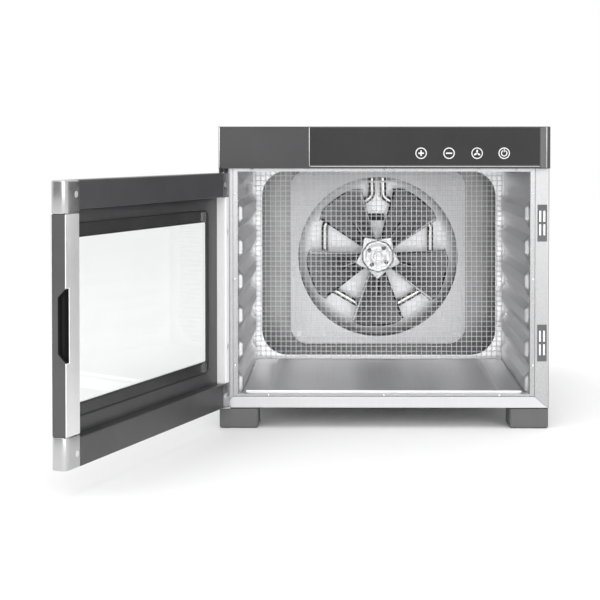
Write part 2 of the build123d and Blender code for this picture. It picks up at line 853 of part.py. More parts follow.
def make_catch_housings():
    """Two moulded magnet holders set in the right front flange."""
    with BuildPart() as housings:
        with BuildSketch(facing(FRONT - CATCH_PROUD)):
            for z in CATCH_HEIGHTS:
                with Locations((CATCH_X, z)):
                    Rectangle(CATCH_WIDTH, CATCH_LENGTH)
        extrude(amount=-10)
        with BuildSketch(facing(FRONT - CATCH_PROUD)):
            catch_pole_sketch()
        extrude(amount=-6, mode=Mode.SUBTRACT)
    return housings.part


def catch_pole_sketch():
    """Four upright bars in each catch."""
    for z in CATCH_HEIGHTS:
        with Locations((CATCH_X, z)):
            with GridLocations(4.2, 14.0, 2, 2):
                Rectangle(1.9, 11.5)


def make_catch_poles():
    """Steel pole bars of the two magnetic catches."""
    with BuildPart() as poles:
        with BuildSketch(facing(FRONT - CATCH_PROUD)):
            catch_pole_sketch()
        extrude(amount=-6)
    return poles.part


# ---- Door: sketches lie on planes that follow the door's open angle ----

ALONG = (cos(radians(-DOOR_OPEN)), sin(radians(-DOOR_OPEN)))
INWARD = (-ALONG[1], ALONG[0])
PIVOT_Y = FRONT - DOOR_GAP - PIVOT_INSET
GRIP_MIDDLE = (DOOR_BOTTOM + DOOR_TOP) / 2
GRIP_LENGTH = 63.0
GRIP_DEPTH = 8.0
GRIP_FROM_END = 5.6
WINDOW_S = (36.0, 300.0)
WINDOW_Z = (74.5, 215.0)
FRAME_HOLE_S = (33.0, 306.0)
FRAME_HOLE_Z = (62.5, 227.0)
FRAME_HOLE_RADIUS = 9.0
STILE_WALL = 1.2
PANE = 3.6
HANDLE_S = DOOR_LENGTH - HANDLE_STILE


def door_point(s, depth):
    """World position of a point s along the door and depth below its inner face."""
    along = s - PIVOT_FROM_END
    inward = PIVOT_INSET - depth
    return (
        PIVOT_X + along * ALONG[0] + inward * INWARD[0],
        PIVOT_Y + along * ALONG[1] + inward * INWARD[1],
        0,
    )


def door_face(depth):
    """Plane parallel to the door's inner face: X along the door, Y up, normal outward."""
    return Plane(door_point(0, depth), x_dir=(*ALONG, 0), z_dir=(-INWARD[0], -INWARD[1], 0))


def door_section(s):
    """Upright plane across the door: X through its thickness, Y up."""
    return Plane(door_point(s, 0), x_dir=(-INWARD[0], -INWARD[1], 0), z_dir=(-ALONG[0], -ALONG[1], 0))


def door_plan(z):
    """Level plane with X along the door and Y towards its inner side, origin at the inner corner."""
    x, y, _ = door_point(0, 0)
    return Plane((x, y, z), x_dir=(*ALONG, 0), z_dir=(0, 0, 1))


def patch(s, z):
    """Rectangle on a door face from spans along the door and up it."""
    with Locations((sum(s) / 2, sum(z) / 2)):
        Rectangle(s[1] - s[0], z[1] - z[0])


def make_door_rail(low):
    """Hollow dark rail between the corner caps."""
    with BuildPart() as rail:
        with BuildSketch(door_section(HINGE_CAP)):
            with Locations((DOOR_THICKNESS / 2, low + RAIL_HEIGHT / 2)):
                RectangleRounded(DOOR_THICKNESS, RAIL_HEIGHT, 1.0)
                Rectangle(DOOR_THICKNESS - 3, RAIL_HEIGHT - 3, mode=Mode.SUBTRACT)
        extrude(amount=-(HANDLE_S - HINGE_CAP))
    return rail.part


def make_hinge_stile():
    """Thin closed tube along the hinge side."""
    low, high = DOOR_BOTTOM + RAIL_HEIGHT, DOOR_TOP - RAIL_HEIGHT
    with BuildPart() as stile:
        with BuildSketch(door_plan(low)):
            with Locations((HINGE_STILE / 2, -DOOR_THICKNESS / 2)):
                RectangleRounded(HINGE_STILE, DOOR_THICKNESS, 1.5)
                Rectangle(HINGE_STILE - 2 * STILE_WALL, DOOR_THICKNESS - 2 * STILE_WALL, mode=Mode.SUBTRACT)
        extrude(amount=high - low)
    return stile.part


def grip_outline():
    """Finger pocket with slanted ends, from the inner face into the handle edge."""
    half = GRIP_LENGTH / 2
    return [
        (-0.1, GRIP_MIDDLE - half),
        (GRIP_DEPTH, GRIP_MIDDLE - half + GRIP_DEPTH),
        (GRIP_DEPTH, GRIP_MIDDLE + half - GRIP_DEPTH),
        (-0.1, GRIP_MIDDLE + half),
    ]


def make_handle_stile():
    """Channel along the handle side, open towards the free edge."""
    low, high = DOOR_BOTTOM + CAP_HEIGHT, DOOR_TOP - CAP_HEIGHT
    outer_sheet, inner_sheet = 1.8, 1.0
    with BuildPart() as stile:
        with BuildSketch(door_plan(low)):
            with Locations(((HANDLE_S + DOOR_LENGTH) / 2, -DOOR_THICKNESS / 2)):
                Rectangle(HANDLE_STILE, DOOR_THICKNESS)
            channel_middle = -(DOOR_THICKNESS - outer_sheet + inner_sheet) / 2
            with Locations(((HANDLE_S + DOOR_LENGTH) / 2 + STILE_WALL, channel_middle)):
                channel = DOOR_THICKNESS - outer_sheet - inner_sheet
                Rectangle(HANDLE_STILE, channel, mode=Mode.SUBTRACT)
        extrude(amount=high - low)
        with BuildSketch(door_section(DOOR_LENGTH - GRIP_FROM_END)):
            with BuildLine():
                Polyline(*grip_outline(), close=True)
            make_face()
        extrude(amount=-(GRIP_FROM_END + 1), mode=Mode.SUBTRACT)
    return stile.part


def make_handle_insert():
    """Black moulding that fills the channel's open side and forms the finger grip."""
    low, high = DOOR_BOTTOM + CAP_HEIGHT, DOOR_TOP - CAP_HEIGHT
    start, end = DOOR_LENGTH - 11.0, DOOR_LENGTH - 0.3
    with BuildPart() as insert:
        with BuildSketch(door_plan(low)):
            with Locations(((start + end) / 2, -(1 + 13.2) / 2)):
                Rectangle(end - start, 12.2)
        extrude(amount=high - low)
        with BuildSketch(door_section(DOOR_LENGTH - GRIP_FROM_END)):
            with BuildLine():
                Polyline(*grip_outline(), close=True)
            make_face()
        extrude(amount=-GRIP_FROM_END, mode=Mode.SUBTRACT)
    return insert.part


def make_handle_caps():
    """Two cast corner pieces at the free edge, rounded on their outer corner."""
    with BuildPart() as caps:
        for low in (DOOR_BOTTOM, DOOR_TOP - CAP_HEIGHT):
            with BuildSketch(door_plan(low)):
                with Locations(((HANDLE_S + DOOR_LENGTH) / 2, -DOOR_THICKNESS / 2)):
                    cap = Rectangle(HANDLE_STILE, DOOR_THICKNESS)
                fillet(cap.vertices().sort_by_distance(cap.center() + Vector(100, 0, 0))[:2], 4.5)
            extrude(amount=CAP_HEIGHT)
    return caps.part


def make_hinge_caps():
    """Two cast corner pieces at the hinge edge, each bored for its pin."""
    with BuildPart() as caps:
        for low in (DOOR_BOTTOM, DOOR_TOP - RAIL_HEIGHT):
            with BuildSketch(door_plan(low)):
                with Locations((HINGE_CAP / 2, -DOOR_THICKNESS / 2)):
                    cap = Rectangle(HINGE_CAP, DOOR_THICKNESS)
                fillet(cap.vertices().sort_by_distance(cap.center() - Vector(100, 0, 0))[:2], 1.2)
            extrude(amount=RAIL_HEIGHT)
        for low in (DOOR_BOTTOM, DOOR_TOP - PIN_BORE):
            with BuildSketch(Plane((PIVOT_X, PIVOT_Y, low))):
                Circle(PIN_RADIUS + RUNNING_FIT)
            extrude(amount=PIN_BORE, mode=Mode.SUBTRACT)
    return caps.part


PIN_BORE = 12.0
PIN_ENTRY = 11.0
PIN_TOP = DOOR_TOP - PIN_ENTRY


def make_hinge_pins():
    """Upper pin hanging from the panel and lower pin standing on its bracket."""
    with BuildPart() as pins:
        with BuildSketch(Plane((PIVOT_X, PIVOT_Y, PIN_TOP))):
            Circle(PIN_RADIUS)
        extrude(amount=PANEL_BOTTOM - PIN_TOP)
        with BuildSketch(Plane((PIVOT_X, PIVOT_Y, BRACKET_TOP))):
            Circle(PIN_RADIUS)
        extrude(amount=DOOR_BOTTOM + PIN_ENTRY - BRACKET_TOP)
    return pins.part


def make_hinge_bush():
    """Black spacer between the panel and the door's top cap."""
    with BuildPart() as bush:
        with BuildSketch(Plane((PIVOT_X, PIVOT_Y, DOOR_TOP + CLEAR))):
            Circle(4.6)
            Circle(PIN_RADIUS, mode=Mode.SUBTRACT)
        extrude(amount=PANEL_BOTTOM - DOOR_TOP - CLEAR)
    return bush.part


BRACKET_TOP = DOOR_BOTTOM - CLEAR
BRACKET_SHEET = 1.6


def make_hinge_bracket():
    """Small shelf in front of the base lip that carries the lower pin."""
    reach = FRONT - PIVOT_Y + 5
    with BuildPart() as bracket:
        with BuildSketch(Plane.XY.offset(BRACKET_TOP - BRACKET_SHEET)):
            with Locations((PIVOT_X + 1, FRONT - reach / 2)):
                Rectangle(12, reach)
        extrude(amount=BRACKET_SHEET)
    return bracket.part


def make_door_screws():
    """Low domed heads on the door's inner face, larger ones in the corner caps."""
    caps = [(s, z) for s in (10.5, DOOR_LENGTH - 18) for z in (DOOR_BOTTOM + 12, DOOR_TOP - 12)]
    stiles = [(s, z) for s in (4.4, DOOR_LENGTH - 15) for z in (85.5, 203.5)]
    with BuildPart() as screws:
        for places, radius in ((caps, 3.0), (stiles, 2.2)):
            with BuildSketch(door_face(0)):
                with Locations(*places):
                    Circle(radius)
            extrude(amount=-0.25, taper=20)
    return screws.part


def rounded_patch(s, z, radius, mode=Mode.ADD):
    """Rounded rectangle on a door face from spans along the door and up it."""
    with Locations((sum(s) / 2, sum(z) / 2)):
        RectangleRounded(s[1] - s[0], z[1] - z[0], radius, mode=mode)


def make_inner_frame():
    """Dark sheet frame on the floor of the door's recess, with a round-cornered hole."""
    with BuildPart() as frame:
        with BuildSketch(door_face(RECESS)):
            patch((HINGE_STILE, HANDLE_S), (DOOR_BOTTOM + RAIL_HEIGHT, DOOR_TOP - RAIL_HEIGHT))
            rounded_patch(FRAME_HOLE_S, FRAME_HOLE_Z, FRAME_HOLE_RADIUS, Mode.SUBTRACT)
        extrude(amount=STILE_WALL)
    return frame.part


def make_gasket():
    """Black glazing seal: a thin lip at the sides, broad strips over and under the window."""
    with BuildPart() as gasket:
        with BuildSketch(door_face(RECESS - 0.9)):
            rounded_patch(FRAME_HOLE_S, FRAME_HOLE_Z, FRAME_HOLE_RADIUS)
            rounded_patch(WINDOW_S, WINDOW_Z, 2, Mode.SUBTRACT)
        extrude(amount=0.9 + STILE_WALL)
    return gasket.part


def make_glass():
    """Clear pane behind the seal."""
    with BuildPart() as glass:
        with BuildSketch(door_face(RECESS + STILE_WALL)):
            patch(
                (HINGE_STILE + 0.2, HANDLE_S - 0.2),
                (DOOR_BOTTOM + RAIL_HEIGHT + 0.2, DOOR_TOP - RAIL_HEIGHT - 0.2),
            )
        extrude(amount=PANE)
    return glass.part


def make_glass_clips():
    """Two small metal tabs on the seal's strips, at the hinge end of the window."""
    strips = ((FRAME_HOLE_Z[0] + 2, WINDOW_Z[0] - 0.5), (WINDOW_Z[1] + 0.5, FRAME_HOLE_Z[1] - 2))
    with BuildPart() as clips:
        with BuildSketch(door_face(RECESS - 0.9)):
            for strip in strips:
                patch((WINDOW_S[0] + 4, WINDOW_S[0] + 12), strip)
        extrude(amount=-1.0)
    return clips.part


# ---- Drip tray ----

TRAY_HALF = 143.0
TRAY_SHEET = 0.8
TRAY_FRONT = LINER_FRONT + 1.0
TRAY_BACK = GUARD_Y - 4
TRAY_TOP = CAVITY_FLOOR + CLEAR + TRAY_SHEET
TRAY_HEM = 2.0


def make_drip_tray():
    """Flat sheet with a turned-up front hem and an embossed border line."""
    middle = (TRAY_FRONT + TRAY_BACK) / 2
    length = TRAY_BACK - TRAY_FRONT
    with BuildPart() as tray:
        with BuildSketch(Plane.XY.offset(TRAY_TOP - TRAY_SHEET)):
            with Locations((0, middle)):
                Rectangle(2 * TRAY_HALF, length)
        extrude(amount=TRAY_SHEET)
        with BuildSketch(Plane.XY.offset(TRAY_TOP)):
            with Locations((0, TRAY_FRONT + TRAY_SHEET / 2)):
                Rectangle(2 * TRAY_HALF, TRAY_SHEET)
        extrude(amount=TRAY_HEM)
        with BuildSketch(Plane.XY.offset(TRAY_TOP)):
            with Locations((0, middle)):
                RectangleRounded(2 * TRAY_HALF - 46, length - 14, 4)
                RectangleRounded(2 * TRAY_HALF - 50, length - 18, 3, mode=Mode.SUBTRACT)
        extrude(amount=0.6)
    return tray.part


outer_shell = make_outer_shell()
liner_right = make_liner_side()
shell_parts = {
    "outer_shell": outer_shell,
    "base_plate": make_base_plate(),
    "rear_cover": make_rear_cover(),
    "cover_screws": make_cover_screws(),
    "feet": make_feet(),
    "foot_screws": make_foot_screws(),
    "cord_gland": make_cord_gland(),
    "liner_right": liner_right,
    "liner_left": mirror(liner_right, about=Plane.YZ),
    "liner_floor": make_liner_floor(),
    "liner_ceiling": make_liner_ceiling(),
    "liner_trim": make_liner_trim(),
    "trim_screws": make_trim_screws(),
    "rear_bulkhead": make_rear_bulkhead(),
    "mesh_guard": make_mesh_guard(),
}
air_parts = {
    "fan_shroud": make_fan_shroud(),
    "shroud_standoffs": make_shroud_standoffs(),
    "motor_plate": make_motor_plate(),
    "heater_element": make_heater(),
    "heater_terminals": make_heater_terminals(),
    "heater_bracket": make_heater_bracket(),
    "heater_clips": make_heater_clips(),
    "thermostat": make_thermostat(),
    "thermostat_bracket": make_thermostat_bracket(),
    "motor_stator": make_stator(),
    "motor_coil": make_coil(),
    "motor_brackets": make_motor_brackets(),
    "motor_posts": make_motor_posts(),
    "motor_bearings": make_bearings(),
    "motor_rotor": make_rotor(),
    "fan_shaft": make_shaft(),
    "fan_wheel": make_fan_wheel(),
    "fan_hub": make_fan_hub(),
    "fan_rivets": make_fan_rivets(),
}
panel_parts = {
    "control_fascia": make_control_fascia(),
    "panel_overlay": make_inlay(OVERLAY_X, INLAY),
    "badge_plate": make_inlay(BADGE_X, INLAY),
    "touch_marks": make_touch_marks(),
    "control_board": make_control_board(),
    "display_module": make_display(),
    "touch_springs": make_touch_springs(),
    "power_board": make_power_board(),
    "catch_housings": make_catch_housings(),
    "catch_poles": make_catch_poles(),
}
door_parts = {
    "door_rail_top": make_door_rail(DOOR_TOP - RAIL_HEIGHT),
    "door_rail_bottom": make_door_rail(DOOR_BOTTOM),
    "door_stile_hinge": make_hinge_stile(),
    "door_stile_handle": make_handle_stile(),
    "handle_insert": make_handle_insert(),
    "handle_caps": make_handle_caps(),
    "hinge_caps": make_hinge_caps(),
    "hinge_pins": make_hinge_pins(),
    "hinge_bush": make_hinge_bush(),
    "hinge_bracket": make_hinge_bracket(),
    "door_screws": make_door_screws(),
    "door_inner_frame": make_inner_frame(),
    "glass_gasket": make_gasket(),
    "door_glass": make_glass(),
    "glass_clips": make_glass_clips(),
    "drip_tray": make_drip_tray(),
}
for group in (shell_parts, air_parts, panel_parts, door_parts):
    for name, piece in group.items():
        save(piece, name)
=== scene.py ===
import json
import math

import bmesh
import bpy
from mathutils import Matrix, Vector


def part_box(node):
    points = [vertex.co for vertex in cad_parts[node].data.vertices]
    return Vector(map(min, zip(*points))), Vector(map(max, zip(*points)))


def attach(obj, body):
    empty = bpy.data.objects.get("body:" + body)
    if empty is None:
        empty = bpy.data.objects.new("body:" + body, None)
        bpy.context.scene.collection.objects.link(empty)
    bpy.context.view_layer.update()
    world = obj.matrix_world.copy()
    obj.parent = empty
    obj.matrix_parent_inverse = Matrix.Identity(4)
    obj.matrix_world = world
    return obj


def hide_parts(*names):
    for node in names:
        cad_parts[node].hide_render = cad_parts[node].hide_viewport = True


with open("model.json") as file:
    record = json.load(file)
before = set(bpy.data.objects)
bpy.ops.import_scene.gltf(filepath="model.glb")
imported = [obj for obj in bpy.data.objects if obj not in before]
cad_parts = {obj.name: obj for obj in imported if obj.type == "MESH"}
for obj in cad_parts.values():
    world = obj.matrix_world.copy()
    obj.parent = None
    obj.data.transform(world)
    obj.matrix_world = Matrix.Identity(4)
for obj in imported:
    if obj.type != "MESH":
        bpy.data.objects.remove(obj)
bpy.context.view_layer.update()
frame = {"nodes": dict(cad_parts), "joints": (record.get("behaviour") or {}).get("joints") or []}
NODES = frame["nodes"]
MM = 0.001


def find_joint(name):
    return next(joint for joint in frame["joints"] if joint["name"] == name)


FAN_CENTRE = Vector(find_joint("fan_spin")["pos_m"])


# ---- Camera, lights and floor ----

# The camera's place in metres, lens and sensor in millimetres, aim in degrees, shifts as shares of the sensor.
CAMERA_X = -0.038
CAMERA_HEIGHT = 0.2943
CAMERA_FROM_FRONT = 1.570
LENS = 91.7
SENSOR_WIDTH = 36.0
AIM_PITCH = 1.275
AIM_YAW = 0.412
SHIFT_X = -0.06
SHIFT_Y = -0.205
FLOOR_REACH = 6.0


def make_camera():
    """Nearly level camera in front of the cabinet, a little left of its middle and just under its top."""
    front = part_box("outer_shell")[0][1]
    data = bpy.data.cameras.new("camera")
    data.lens = LENS
    data.sensor_width = SENSOR_WIDTH
    data.shift_x, data.shift_y = SHIFT_X, SHIFT_Y
    camera = bpy.data.objects.new("camera", data)
    camera.location = (CAMERA_X, front - CAMERA_FROM_FRONT, CAMERA_HEIGHT)
    camera.rotation_euler = (math.radians(90 - AIM_PITCH), 0, math.radians(AIM_YAW))
    bpy.context.collection.objects.link(camera)
    bpy.context.scene.camera = camera


def make_area_light(name, place, target, size, power):
    """Rectangular lamp at a place, turned to face a target."""
    data = bpy.data.lights.new(name, "AREA")
    data.shape = "RECTANGLE"
    data.size, data.size_y = size
    data.energy = power
    light = bpy.data.objects.new(name, data)
    light.location = place
    light.rotation_euler = (Vector(target) - Vector(place)).to_track_quat("-Z", "Y").to_euler()
    bpy.context.collection.objects.link(light)


# Parts of the surround: direction, cosine of the angle where it starts and where it is full, brightness.
SURROUND = (
    ((0.0, -1.0, 0.0), 0.62, 0.90, 3.0),
    ((-0.72, -0.69, 0.0), 0.86, 0.95, 0.28),
    ((0.74, 0.67, 0.0), 0.88, 0.96, 0.70),
)


def make_world():
    """White surround, brighter in front of the cabinet, with two grey flags that give the metal its contrast."""
    world = bpy.data.worlds.new("studio")
    world.use_nodes = True
    nodes, links = world.node_tree.nodes, world.node_tree.links
    direction = nodes.new("ShaderNodeTexCoord").outputs["Generated"]
    strength = None
    for aim, start, full, brightness in SURROUND:
        toward = nodes.new("ShaderNodeVectorMath")
        toward.operation = "DOT_PRODUCT"
        toward.inputs[1].default_value = Vector(aim).normalized()
        links.new(direction, toward.inputs[0])
        level = nodes.new("ShaderNodeMapRange")
        level.interpolation_type = "SMOOTHSTEP"
        level.inputs["From Min"].default_value = start
        level.inputs["From Max"].default_value = full
        level.inputs["To Min"].default_value = 1.0
        level.inputs["To Max"].default_value = brightness
        links.new(toward.outputs["Value"], level.inputs["Value"])
        if strength is None:
            strength = level.outputs["Result"]
            continue
        product = nodes.new("ShaderNodeMath")
        product.operation = "MULTIPLY"
        links.new(strength, product.inputs[0])
        links.new(level.outputs["Result"], product.inputs[1])
        strength = product.outputs["Value"]
    background = nodes["Background"]
    background.inputs["Color"].default_value = (1.0, 1.0, 1.0, 1.0)
    links.new(strength, background.inputs["Strength"])
    bpy.context.scene.world = world


def make_studio():
    """Soft white room with one broad light overhead and a pale floor."""
    bpy.context.scene.view_settings.view_transform = "Standard"
    make_world()
    make_area_light("top_light", place=(-0.3, -0.9, 2.0), target=(0, 0, 0.1), size=(2.0, 1.6), power=16)
    floor_mesh = bpy.data.meshes.new("floor")
    corners = [(x * FLOOR_REACH, y * FLOOR_REACH, 0) for x, y in ((-1, -1), (1, -1), (1, 1), (-1, 1))]
    floor_mesh.from_pydata(corners, [], [(0, 1, 2, 3)])
    floor = bpy.data.objects.new("floor", floor_mesh)
    bpy.context.collection.objects.link(floor)
    floor_mesh.materials.append(plain_floor())


# ---- Materials ----

# Sockets of a colour mix node.
MIX_FACTOR, MIX_A, MIX_B, MIX_RESULT = 0, 6, 7, 2


def new_material(name):
    """A material with its nodes, links and shader."""
    material = bpy.data.materials.new(name)
    material.use_nodes = True
    nodes = material.node_tree.nodes
    return material, nodes, material.node_tree.links, nodes["Principled BSDF"]


def plain_floor():
    """Pale matt sweep with a barely visible cloudiness."""
    material, nodes, links, shader = new_material("pale_floor")
    clouds = nodes.new("ShaderNodeTexNoise")
    clouds.inputs["Scale"].default_value = 3.0
    ramp = nodes.new("ShaderNodeValToRGB")
    ramp.color_ramp.elements[0].color = (0.93, 0.93, 0.93, 1)
    ramp.color_ramp.elements[1].color = (0.96, 0.96, 0.96, 1)
    links.new(clouds.outputs["Fac"], ramp.inputs["Fac"])
    links.new(ramp.outputs["Color"], shader.inputs["Base Color"])
    shader.inputs["Roughness"].default_value = 0.55
    return material


def object_coordinates(nodes, links, scale):
    """Object-space coordinates in metres, stretched by scale along X, Y and Z."""
    place = nodes.new("ShaderNodeTexCoord")
    mapping = nodes.new("ShaderNodeMapping")
    mapping.inputs["Scale"].default_value = scale
    links.new(place.outputs["Object"], mapping.inputs["Vector"])
    return mapping.outputs["Vector"]


def noise(nodes, links, vector, detail, roughness=0.6):
    """Fractal noise over a vector that already carries the grain's scale."""
    texture = nodes.new("ShaderNodeTexNoise")
    texture.inputs["Scale"].default_value = 1.0
    texture.inputs["Detail"].default_value = detail
    texture.inputs["Roughness"].default_value = roughness
    links.new(vector, texture.inputs["Vector"])
    return texture.outputs["Fac"]


def remap(nodes, links, value, low, high, from_low=0.3, from_high=0.7):
    """Maps a value, by default the usual span of noise, onto low to high."""
    node = nodes.new("ShaderNodeMapRange")
    node.inputs["From Min"].default_value = from_low
    node.inputs["From Max"].default_value = from_high
    node.inputs["To Min"].default_value = low
    node.inputs["To Max"].default_value = high
    links.new(value, node.inputs["Value"])
    return node.outputs["Result"]


def blend_colours(nodes, links, factor, dark, light):
    """Mixes two plain colours by a factor."""
    node = nodes.new("ShaderNodeMix")
    node.data_type = "RGBA"
    node.inputs[MIX_A].default_value = (*dark, 1)
    node.inputs[MIX_B].default_value = (*light, 1)
    links.new(factor, node.inputs[MIX_FACTOR])
    return node.outputs[MIX_RESULT]


def bump(nodes, links, height, distance, strength):
    """Surface relief from a height value, with its depth in metres."""
    node = nodes.new("ShaderNodeBump")
    node.inputs["Distance"].default_value = distance
    node.inputs["Strength"].default_value = strength
    links.new(height, node.inputs["Height"])
    return node.outputs["Normal"]


def brushed_metal(name, dark, light, grain, rough, smudge=0.025):
    """Brushed sheet: fine streaks along the axis where grain is smallest, with soft smudges."""
    material, nodes, links, shader = new_material(name)
    streaks = noise(nodes, links, object_coordinates(nodes, links, grain), 3.0)
    clouds = noise(nodes, links, object_coordinates(nodes, links, (9, 9, 9)), 4.0)
    colour = blend_colours(nodes, links, remap(nodes, links, streaks, 0.0, 1.0), dark, light)
    links.new(colour, shader.inputs["Base Color"])
    sum_node = nodes.new("ShaderNodeMath")
    sum_node.operation = "ADD"
    links.new(remap(nodes, links, streaks, rough - 0.03, rough + 0.03), sum_node.inputs[0])
    links.new(remap(nodes, links, clouds, -smudge, smudge), sum_node.inputs[1])
    links.new(sum_node.outputs[0], shader.inputs["Roughness"])
    links.new(bump(nodes, links, streaks, 0.00002, 0.2), shader.inputs["Normal"])
    shader.inputs["Metallic"].default_value = 1.0
    return material


def polished_metal(name, colour, rough):
    """Plated or polished piece with faint handling marks."""
    material, nodes, links, shader = new_material(name)
    marks = noise(nodes, links, object_coordinates(nodes, links, (140, 140, 140)), 3.0)
    dark = tuple(c * 0.94 for c in colour)
    links.new(blend_colours(nodes, links, remap(nodes, links, marks, 0, 1), dark, colour), shader.inputs["Base Color"])
    links.new(remap(nodes, links, marks, rough * 0.9, rough * 1.1), shader.inputs["Roughness"])
    links.new(bump(nodes, links, marks, 0.00001, 0.1), shader.inputs["Normal"])
    shader.inputs["Metallic"].default_value = 1.0
    return material


def coated(name, dark, light, rough, grain, coat=0.0, relief=0.00002, specular=0.5):
    """Paint, moulded plastic or rubber with a fine surface grain and slight colour drift."""
    material, nodes, links, shader = new_material(name)
    fine = noise(nodes, links, object_coordinates(nodes, links, (grain, grain, grain)), 2.0)
    drift = noise(nodes, links, object_coordinates(nodes, links, (14, 14, 14)), 3.0)
    links.new(blend_colours(nodes, links, remap(nodes, links, drift, 0, 1), dark, light), shader.inputs["Base Color"])
    links.new(remap(nodes, links, fine, rough - 0.06, rough + 0.06), shader.inputs["Roughness"])
    links.new(bump(nodes, links, fine, relief, 0.4), shader.inputs["Normal"])
    shader.inputs["Specular IOR Level"].default_value = specular
    shader.inputs["Coat Weight"].default_value = coat
    shader.inputs["Coat Roughness"].default_value = 0.08
    return material


def ringed_sheet(name, dark, light, rough, shade_grey, inner, outer, shade_inside):
    """Satin sheet round the fan with painted shade: a flat darker grey inside or outside a ring; its two radii are in
    millimetres.
    """
    material = brushed_metal(name, dark, light, (60, 60, 60), rough)
    nodes, links = material.node_tree.nodes, material.node_tree.links
    shader = nodes["Principled BSDF"]
    sheet_colour = shader.inputs["Base Color"].links[0].from_socket
    from_axis = nodes.new("ShaderNodeVectorMath")
    from_axis.operation = "SUBTRACT"
    from_axis.inputs[1].default_value = FAN_CENTRE
    links.new(nodes.new("ShaderNodeTexCoord").outputs["Object"], from_axis.inputs[0])
    flat = nodes.new("ShaderNodeVectorMath")
    flat.operation = "MULTIPLY"
    flat.inputs[1].default_value = (1, 0, 1)
    links.new(from_axis.outputs["Vector"], flat.inputs[0])
    radius = nodes.new("ShaderNodeVectorMath")
    radius.operation = "LENGTH"
    links.new(flat.outputs["Vector"], radius.inputs[0])
    # Painted shade: blends a flat darker grey into the sheet's colour on one side of the ring, where the sheet lies in
    # shade.
    mix = nodes.new("ShaderNodeMix")
    mix.data_type = "RGBA"
    shaded_slot, own = (MIX_A, MIX_B) if shade_inside else (MIX_B, MIX_A)
    mix.inputs[shaded_slot].default_value = (shade_grey, shade_grey, shade_grey, 1)
    links.new(sheet_colour, mix.inputs[own])
    outward = remap(nodes, links, radius.outputs["Value"], 0.0, 1.0, inner * MM, outer * MM)
    links.new(outward, mix.inputs[MIX_FACTOR])
    links.new(mix.outputs[MIX_RESULT], shader.inputs["Base Color"])
    return material


def clear_glass(name):
    """Clear tempered pane with a faint green body and fingermarks in its roughness."""
    material, nodes, links, shader = new_material(name)
    marks = noise(nodes, links, object_coordinates(nodes, links, (30, 30, 30)), 5.0)
    links.new(remap(nodes, links, marks, 0.0, 0.008, 0.45, 0.75), shader.inputs["Roughness"])
    links.new(
        blend_colours(nodes, links, remap(nodes, links, marks, 0, 1), (0.965, 0.985, 0.98), (0.985, 0.995, 0.99)),
        shader.inputs["Base Color"],
    )
    shader.inputs["Transmission Weight"].default_value = 1.0
    shader.inputs["IOR"].default_value = 1.45
    return material


